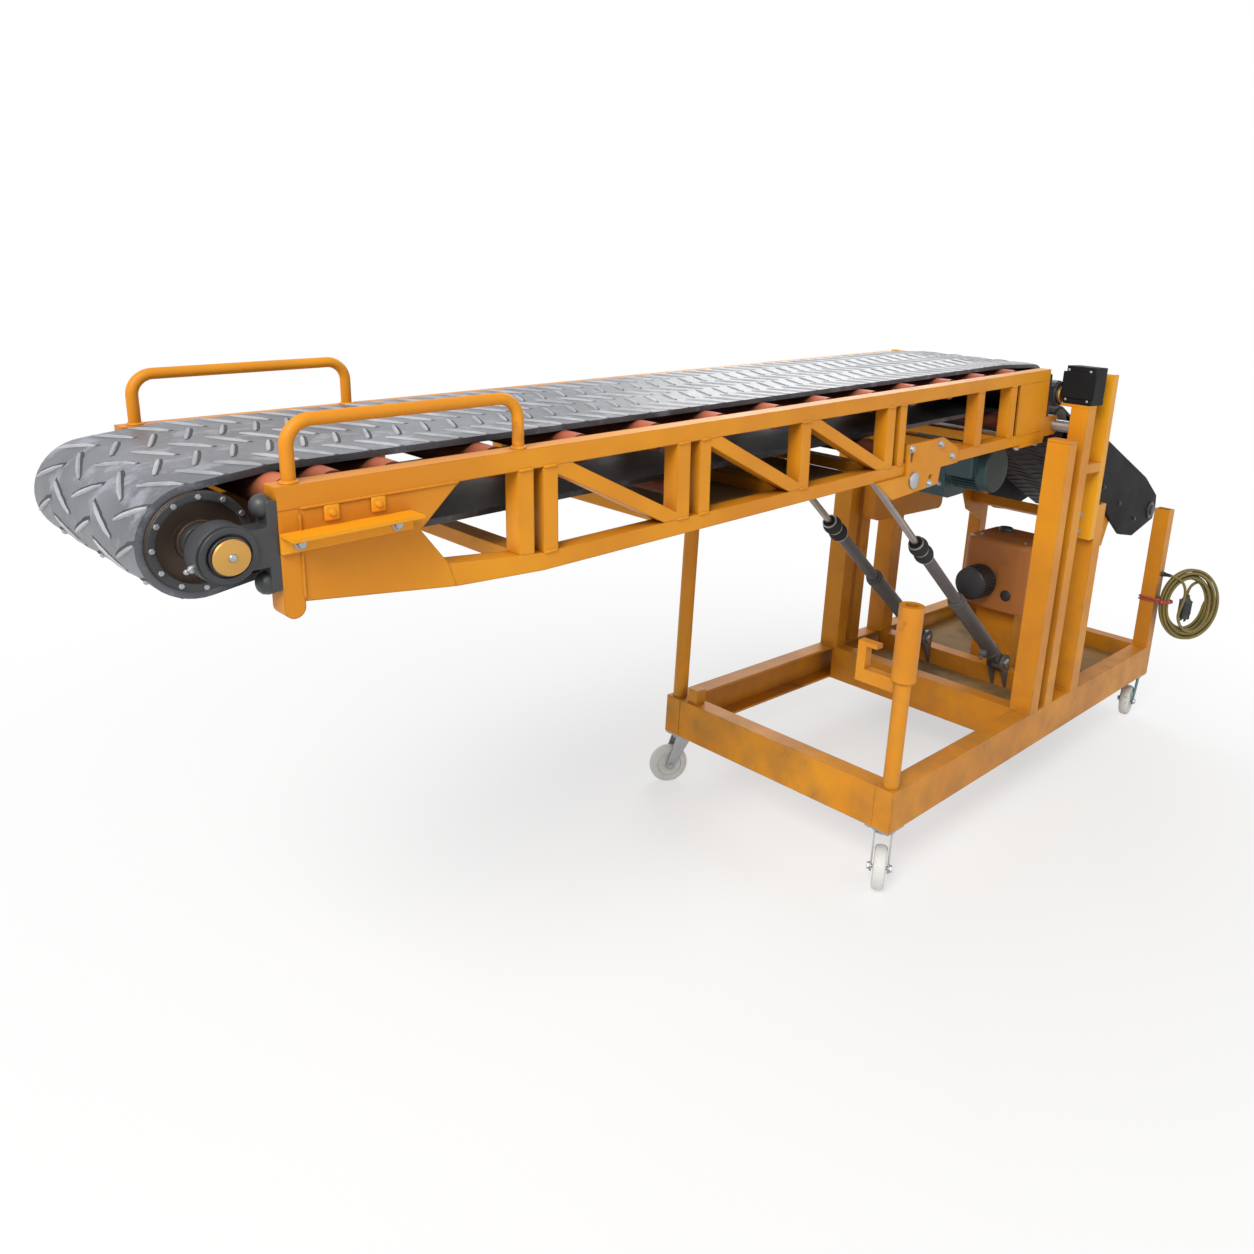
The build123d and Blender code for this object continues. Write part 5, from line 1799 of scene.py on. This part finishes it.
@dataclass
class CableHank:
    """Supply cable gathered in a hank, tied to the near rear corner post, with its plug tucked inside.

    Attributes:
        diameter: Diameter of the cable.
        half_w: Half width of the hank at the middle of its bundle.
        half_h: Half height of the hank at the middle of its bundle.
        turn: Angle of the hank's plane to the base rail, in degrees.
        per_turn: Control points in each turn.
        reach: How much larger the control points' turns are than the cable's.
        fan: How far the bundle opens on the side away from the tie.
        length: Length of the cable from the gland to the plug, measured along its turns; not used.
        apart: How far the cable hangs in front of the hank where it comes down from the gland.
        blend: Control points over which it draws in to the first turn.
        strands: Distance and direction from the bundle's middle of each turn, in metres and degrees.
        slack: Extra size of each turn on its free side.
        drops: Control points from the gland down to the first turn, y and z from the gland.
        fold: Control points from the last turn to the plug, across and up from the hank's middle.
        post_w: Width of the post that carries the hank.
        tie_r: Radius of the tie's cord.
        tie_rounds: Height and rise of each round of the tie.
        knot: Profile of the tie's knot.
        middle: Middle of the hank.
        across: Direction across the hank, in its plane.
        out: Direction square to the hank's plane.
    """

    diameter: float = 0.012
    half_w: float = 0.1
    half_h: float = 0.13
    turn: float = 45.0
    per_turn: int = 16
    reach: float = 1.02
    fan: float = 0.55
    length: float = 8.17
    apart: float = 0.037
    blend: int = 8
    strands: Pairs = (
        (0.0255, 130),
        (0.0255, 100),
        (0.0255, 70),
        (0.0255, 40),
        (0.0138, 60),
        (0.0138, 0),
        (0.0138, -60),
        (0.0138, -120),
        (0.0, 0),
        (0.0138, 120),
        (0.0138, 180),
    )
    slack: Sequence[float] = (
        0.004,
        -0.003,
        0.006,
        0.0,
        -0.005,
        0.007,
        0.002,
        -0.004,
        0.0,
        0.003,
        -0.002,
        0.0,
    )
    drops: Pairs = (
        (0.0, 0.0),
        (-0.03, 0.0),
        (-0.06, -0.003),
        (-0.086, -0.02),
        (-0.098, -0.05),
        (-0.098, -0.088),
        (-0.09, -0.127),
    )
    fold: Pairs = (
        (0.089, 0.02),
        (0.093, 0.046),
        (0.088, 0.072),
        (0.071, 0.092),
        (0.047, 0.099),
        (0.023, 0.092),
        (0.006, 0.072),
        (0.0, 0.046),
    )
    post_w: float = 0.062
    tie_r: float = 0.0035
    tie_rounds: Pairs = ((0.0, 0.006), (0.012, -0.004))
    knot: Profile = (
        (0.003, -0.011),
        (0.0085, -0.006),
        (0.0095, 0.0),
        (0.0085, 0.006),
        (0.003, 0.011),
    )
    middle: Vector = field(init=False)
    across: Vector = field(init=False)
    out: Vector = field(init=False)

    def __post_init__(self) -> None:
        """Finds the hank's middle and the directions of its plane."""
        low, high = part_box("cable_hank")
        self.middle = Vector(((low.x + high.x) / 2, (low.y + high.y) / 2, (low.z + high.z) / 2))
        a = math.radians(self.turn)
        self.across = Vector((math.cos(a), -math.sin(a), 0))
        self.out = Vector((-math.sin(a), -math.cos(a), 0))

    def build(self) -> None:
        """Builds the cable as one spline, its tie, the plug's pins and the gland's nut."""
        low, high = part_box("cable_gland")
        exit_at = Vector(((low.x + high.x) / 2, low.y, (low.z + high.z) / 2))
        cable = self._cable(exit_at)
        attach(cable, Body.CHASSIS.value)
        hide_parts("cable_hank")
        tie = self._tie()
        plug = self._plug()
        nut = self._nut(exit_at)

    def spot(self, x: float, z: float, w: float = 0.0) -> Vector:
        """Finds a place in the hank's plane or in front of it.

        Args:
            x: Distance across from the hank's middle.
            z: Height above the hank's middle.
            w: Distance in front of the plane.

        Returns:
            The place.
        """
        return self.middle + self.across * x + Vector((0, 0, z)) + self.out * w

    def _cable(self, exit_at: Vector) -> bpy.types.Object:
        """Makes the cable as a curve of one spline.

        Args:
            exit_at: Place where the cable leaves the gland.

        Returns:
            The cable.
        """
        route = [exit_at + Vector((0, y, z)) for y, z in self.drops]
        route += self._turns()
        route += [self.spot(x, z) for x, z in self.fold]
        route.append(self.spot(0.0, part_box("cable_plug")[1].z - self.middle.z - 0.004))
        data = bpy.data.curves.new("supply_cable", "CURVE")
        data.dimensions = "3D"
        data.bevel_depth = self.diameter / 2
        data.bevel_resolution = 4
        data.resolution_u = 4
        data.use_fill_caps = True
        spline = data.splines.new("NURBS")
        spline.points.add(len(route) - 1)
        for point, place in zip(spline.points, route):
            point.co = (*place, 1.0)
        spline.order_u = 3
        spline.use_endpoint_u = True
        data.materials.append(CABLE_OLIVE.material())
        cable = bpy.data.objects.new("supply_cable", data)
        bpy.context.scene.collection.objects.link(cable)
        LOG.info("supply_cable: %d points on %s", len(route), Body.CHASSIS.value)
        return cable

    def _strand(self, turn: int, share: float) -> Pair:
        """Finds a turn's place in the bundle, moving on to the next turn's place.

        Args:
            turn: Number of the turn.
            share: Share of the turn that is done.

        Returns:
            Distances outward and in front of the bundle's middle.
        """
        ends = []
        for i in (turn, min(turn + 1, len(self.strands) - 1)):
            r, a = self.strands[i]
            ends.append((r * math.cos(math.radians(a)), r * math.sin(math.radians(a))))
        move = 0.5 - 0.5 * math.cos(math.pi * share)
        (u, w), (next_u, next_w) = ends
        return u + (next_u - u) * move, w + (next_w - w) * move

    def _turns(self) -> list[Vector]:
        """Winds the hank, its last turn left half done.

        Returns:
            Control points of the turns.
        """
        points = []
        total = int((len(self.strands) - 0.5) * self.per_turn) + 1
        for k in range(1, total):
            done, share = divmod(k / self.per_turn, 1.0)
            turn = int(done)
            angle = 2 * math.pi * share
            free = 0.5 - 0.5 * math.cos(angle)
            u, w = self._strand(turn, share)
            grow = 1.0 + self.fan * free
            more = free * (self.slack[turn] * (1 - share) + self.slack[turn + 1] * share)
            x = -(self.half_w * self.reach + u * grow + more) * math.cos(angle)
            z = -(self.half_h * self.reach + u * grow + 2 * more) * math.sin(angle)
            ahead = self.apart * max(0.0, (self.blend - k) / (self.blend - 1))
            points.append(self.spot(x, z, w * grow) - Vector((0, ahead, 0)))
        return points

    def _tie(self) -> bpy.types.Object:
        """Ties the hank to the post with two rounds of red cord pulled tight.

        Returns:
            The tie.
        """
        low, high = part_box("rear_corner_posts")
        r = self.tie_r
        front, back = high.x - self.post_w, high.x
        near, inner = low.y, low.y + self.post_w
        corners = (
            (front - r, inner + r),
            (back + r, inner + r),
            (back + r, near - 0.03),
            (back - 0.008, near - 0.056),
            ((front + back) / 2, near - 0.064),
            (front + 0.008, near - 0.056),
            (front - r, near - 0.03),
            (front - r, inner + r),
        )
        tie = Shape()
        for up, rise in self.tie_rounds:
            path = []
            for i, (x, y) in enumerate(corners):
                bow = rise * math.sin(math.pi * i / (len(corners) - 1))
                path.append((x, y, self.middle.z + up + bow))
            tie.tube(path, r, 10)
        place = (front - r, near - 0.03, self.middle.z + 0.006)
        tie.lathe(self.knot, turn_to((0.4, 0.2, 1), place), 14)
        return tie.make("hank_tie", TIE_RED, Body.CHASSIS, Slot.CABLE, 60)

    def _plug(self) -> bpy.types.Object:
        """Adds ribs, a cord grip and contact pins to the plug.

        Returns:
            The plug's fittings.
        """
        wear(BLACK_IRON, "cable_plug")
        low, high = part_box("cable_plug")
        x, y = (low.x + high.x) / 2, (low.y + high.y) / 2
        rib_r = 0.0242
        pin_r = 0.011
        pin = ((0.0028, 0.0), (0.0028, 0.012), (0.0016, 0.0145))
        trim = Shape()
        for a in round_angles(16):
            place = (x + rib_r * math.cos(a), y + rib_r * math.sin(a), low.z + 0.044)
            rib = Matrix.Translation(place) @ Matrix.Rotation(a, 4, "Z")
            trim.box((0.004, 0.004, 0.05), rib, 0.0012)
        trim.ring(0.0235, 0.0275, 0.006, turn_to(UP, (x, y, low.z + 0.072)), 32)
        trim.ring(0.0065, 0.0125, 0.012, turn_to(UP, (x, y, high.z - 0.004)), 24)
        for a in round_angles(4, math.pi / 4):
            place = (x + pin_r * math.cos(a), y + pin_r * math.sin(a), low.z)
            trim.lathe(pin, turn_to(DOWN, place), 12)
        return trim.make("plug_fittings", BLACK_IRON, Body.CHASSIS, Slot.IRON)

    def _nut(self, exit_at: Vector) -> bpy.types.Object:
        """Adds the domed nut and the ribbed strain relief at the gland.

        Args:
            exit_at: Place where the cable leaves the gland.

        Returns:
            The nut.
        """
        wear(BLACK_IRON, "cable_gland")
        profile = [(0.0062, 0.0), (0.0102, 0.0), (0.0102, 0.003), (0.009, 0.006)]
        for i in range(4):
            z = 0.007 + 0.005 * i
            profile += [(0.0088 - 0.0005 * i, z), (0.0074 - 0.0003 * i, z + 0.0025)]
        profile += [(0.0064, 0.029), (0.0061, 0.029)]
        nut = Shape().lathe(profile, turn_to((0, -1, 0), exit_at), 24)
        return nut.make("gland_relief", BLACK_RUBBER, Body.CHASSIS, Slot.RUBBER)


@dataclass(frozen=True)
class Lamp:
    """A soft square lamp.

    Attributes:
        name: Lamp name.
        place: Where it hangs.
        aim: What it points at.
        size: Side of the lamp.
        power: Power in watts.
        colour: Colour of its light.
    """

    name: str
    place: Point
    aim: Point
    size: float
    power: float
    colour: Point

    def hang(self) -> None:
        """Hangs the lamp in the scene."""
        data = bpy.data.lights.new(self.name, "AREA")
        data.size = self.size
        data.energy = self.power
        data.color = self.colour
        lamp = bpy.data.objects.new(self.name, data)
        lamp.location = self.place
        way = Vector(self.aim) - Vector(self.place)
        lamp.rotation_euler = way.to_track_quat("-Z", "Y").to_euler()
        bpy.context.scene.collection.objects.link(lamp)


@dataclass
class Studio:
    """Floor, light and camera.

    Attributes:
        boom: The boom, from whose head the camera is placed.
        lamps: Lamps round the machine.
        floor_half: Half side of the floor.
        floor_tone: Colour of the floor.
        shadow: Distances from the middle over which the floor's shadow fades to white.
        shadow_white: Share of white in the shadow at the middle.
        sky_tone: Colour of the sky's light.
        sky_light: Strength of the sky's light.
        yaw: Turn of the camera from the y axis, in degrees.
        pitch: Downward tilt of the camera, in degrees.
        roll: Roll of the camera, in degrees.
        eye: Place of the camera, its x from the boom's head.
        sensor: Sensor width in millimetres.
        lens: Focal length in millimetres.
        shift: Shift of the picture, as shares of its width.
        far: Distance to which the camera sees.
    """

    boom: Boom
    lamps: Sequence[Lamp] = (
        Lamp("key", (-5.5, -2.2, 5.2), (0.2, 0.0, 0.8), 3.0, 400.0, (1.0, 0.96, 0.9)),
        Lamp("fill", (1.5, -6.0, 2.6), (0.5, 0.0, 0.8), 4.0, 50.0, (0.93, 0.96, 1.0)),
        Lamp("rim", (4.5, 3.5, 4.5), (0.5, 0.0, 0.9), 3.0, 120.0, (1.0, 1.0, 1.0)),
    )
    floor_half: float = 60.0
    floor_tone: Point = (0.86, 0.86, 0.86, 1.0)
    shadow: Pair = (0.6, 3.6)
    shadow_white: float = 0.55
    sky_tone: Point = (0.92, 0.96, 1.0, 1.0)
    sky_light: float = 0.5
    yaw: float = 49.711
    pitch: float = 12.229
    roll: float = 4.587
    eye: Point = (-0.69586, -1.8264, 1.6897)
    sensor: float = 36.0
    lens: float = 29.462
    shift: Pair = (-0.0872, -0.0917)
    far: float = 200.0

    def build(self) -> None:
        """Makes the studio round the machine."""
        self._floor()
        self._world()
        for lamp in self.lamps:
            lamp.hang()
        self._camera()

    def _floor(self) -> None:
        """Lays a pale floor that keeps the machine's shadow."""
        mesh = bpy.data.meshes.new("floor")
        r = self.floor_half
        mesh.from_pydata([(-r, -r, 0), (r, -r, 0), (r, r, 0), (-r, r, 0)], [], [(0, 1, 2, 3)])
        floor = bpy.data.objects.new("floor", mesh)
        bpy.context.scene.collection.objects.link(floor)
        made = bpy.data.materials.new("studio_floor")
        made.use_nodes = True
        made.node_tree.nodes.clear()
        sheet = NodeSheet(made.node_tree)
        matt = sheet.add("BsdfDiffuse", {"Color": self.floor_tone}, "BSDF")
        white = sheet.add("Emission", {"Color": (1, 1, 1, 1), "Strength": 1.0}, "Emission")
        place = sheet.add("TexCoord", {}, "Object")
        away = sheet.add("VectorMath", {0: place}, "Value", operation="LENGTH")
        fade = sheet.ramp(away, *self.shadow, self.shadow_white)
        share = sheet.times(self._seen(sheet), fade)
        surface = sheet.add("MixShader", {"Fac": share, 1: matt, 2: white}, "Shader")
        sheet.node("OutputMaterial", {"Surface": surface})
        mesh.materials.append(made)

    def _seen(self, sheet: NodeSheet) -> Socket:
        """Masks what the camera sees, straight on, mirrored or through glass.

        Args:
            sheet: Node tree that needs the mask.

        Returns:
            Socket that is 1 on those rays and 0 on the rest.
        """
        path = sheet.node("LightPath", {})
        mask = path.outputs["Is Camera Ray"]
        for ray in ("Is Glossy Ray", "Is Transmission Ray"):
            mask = sheet.add("Math", {0: mask, 1: path.outputs[ray]}, "Value", operation="MAXIMUM")
        return mask

    def _world(self) -> None:
        """Sets a soft sky that is white where the camera, metal or glass sees it."""
        world = bpy.data.worlds.new("studio_sky")
        bpy.context.scene.world = world
        world.use_nodes = True
        world.node_tree.nodes.clear()
        sheet = NodeSheet(world.node_tree)
        soft = {"Color": self.sky_tone, "Strength": self.sky_light}
        white = {"Color": (1, 1, 1, 1), "Strength": 1.0}
        inputs: Inputs = {"Fac": self._seen(sheet)}
        inputs[1] = sheet.add("Background", soft, "Background")
        inputs[2] = sheet.add("Background", white, "Background")
        sheet.node("OutputWorld", {"Surface": sheet.add("MixShader", inputs, "Shader")})

    def _camera(self) -> None:
        """Sets the camera at the photograph's angle."""
        yaw, pitch, roll = (math.radians(a) for a in (self.yaw, self.pitch, self.roll))
        level = math.cos(pitch)
        ahead = Vector((math.sin(yaw) * level, math.cos(yaw) * level, -math.sin(pitch)))
        right = ahead.cross(Vector(UP)).normalized()
        up = right.cross(ahead)
        x = math.cos(roll) * right + math.sin(roll) * up
        y = -math.sin(roll) * right + math.cos(roll) * up
        data = bpy.data.cameras.new("camera")
        data.sensor_width = self.sensor
        data.lens = self.lens
        data.shift_x, data.shift_y = self.shift
        data.clip_end = self.far
        camera = bpy.data.objects.new("camera", data)
        head = self.boom.base().translation
        place = Vector((head.x + self.eye[0], self.eye[1], self.eye[2]))
        turn = Matrix((x, y, -ahead)).transposed().to_4x4()
        camera.matrix_world = Matrix.Translation(place) @ turn
        bpy.context.scene.collection.objects.link(camera)
        bpy.context.scene.camera = camera


def main() -> None:
    """Builds the studio and dresses the machine, sub-assembly by sub-assembly."""
    logging.basicConfig(level=logging.INFO, format="%(message)s")
    bpy.context.scene.view_settings.view_transform = "Standard"
    boom = Boom()
    belts = Belts(boom)
    base_low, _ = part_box("base_rails")
    Studio(boom).build()
    CableHank().build()
    boom.dress()
    belts.dress()
    Drive(boom).dress()
    LiftCylinders(boom).dress()
    BaseFrame(base_low.x).dress()
    PowerUnit().dress()
    FeedSection(belts).dress()
    wear(ZINC, "caster_plates")
    for caster in (
        Caster("near_front", band=WHEEL_BLUE),
        Caster("far_front"),
        Caster("near_rear", fork=TEAL_FORK),
        Caster("far_rear"),
    ):
        caster.dress()


if __name__ == "__main__":
    main()
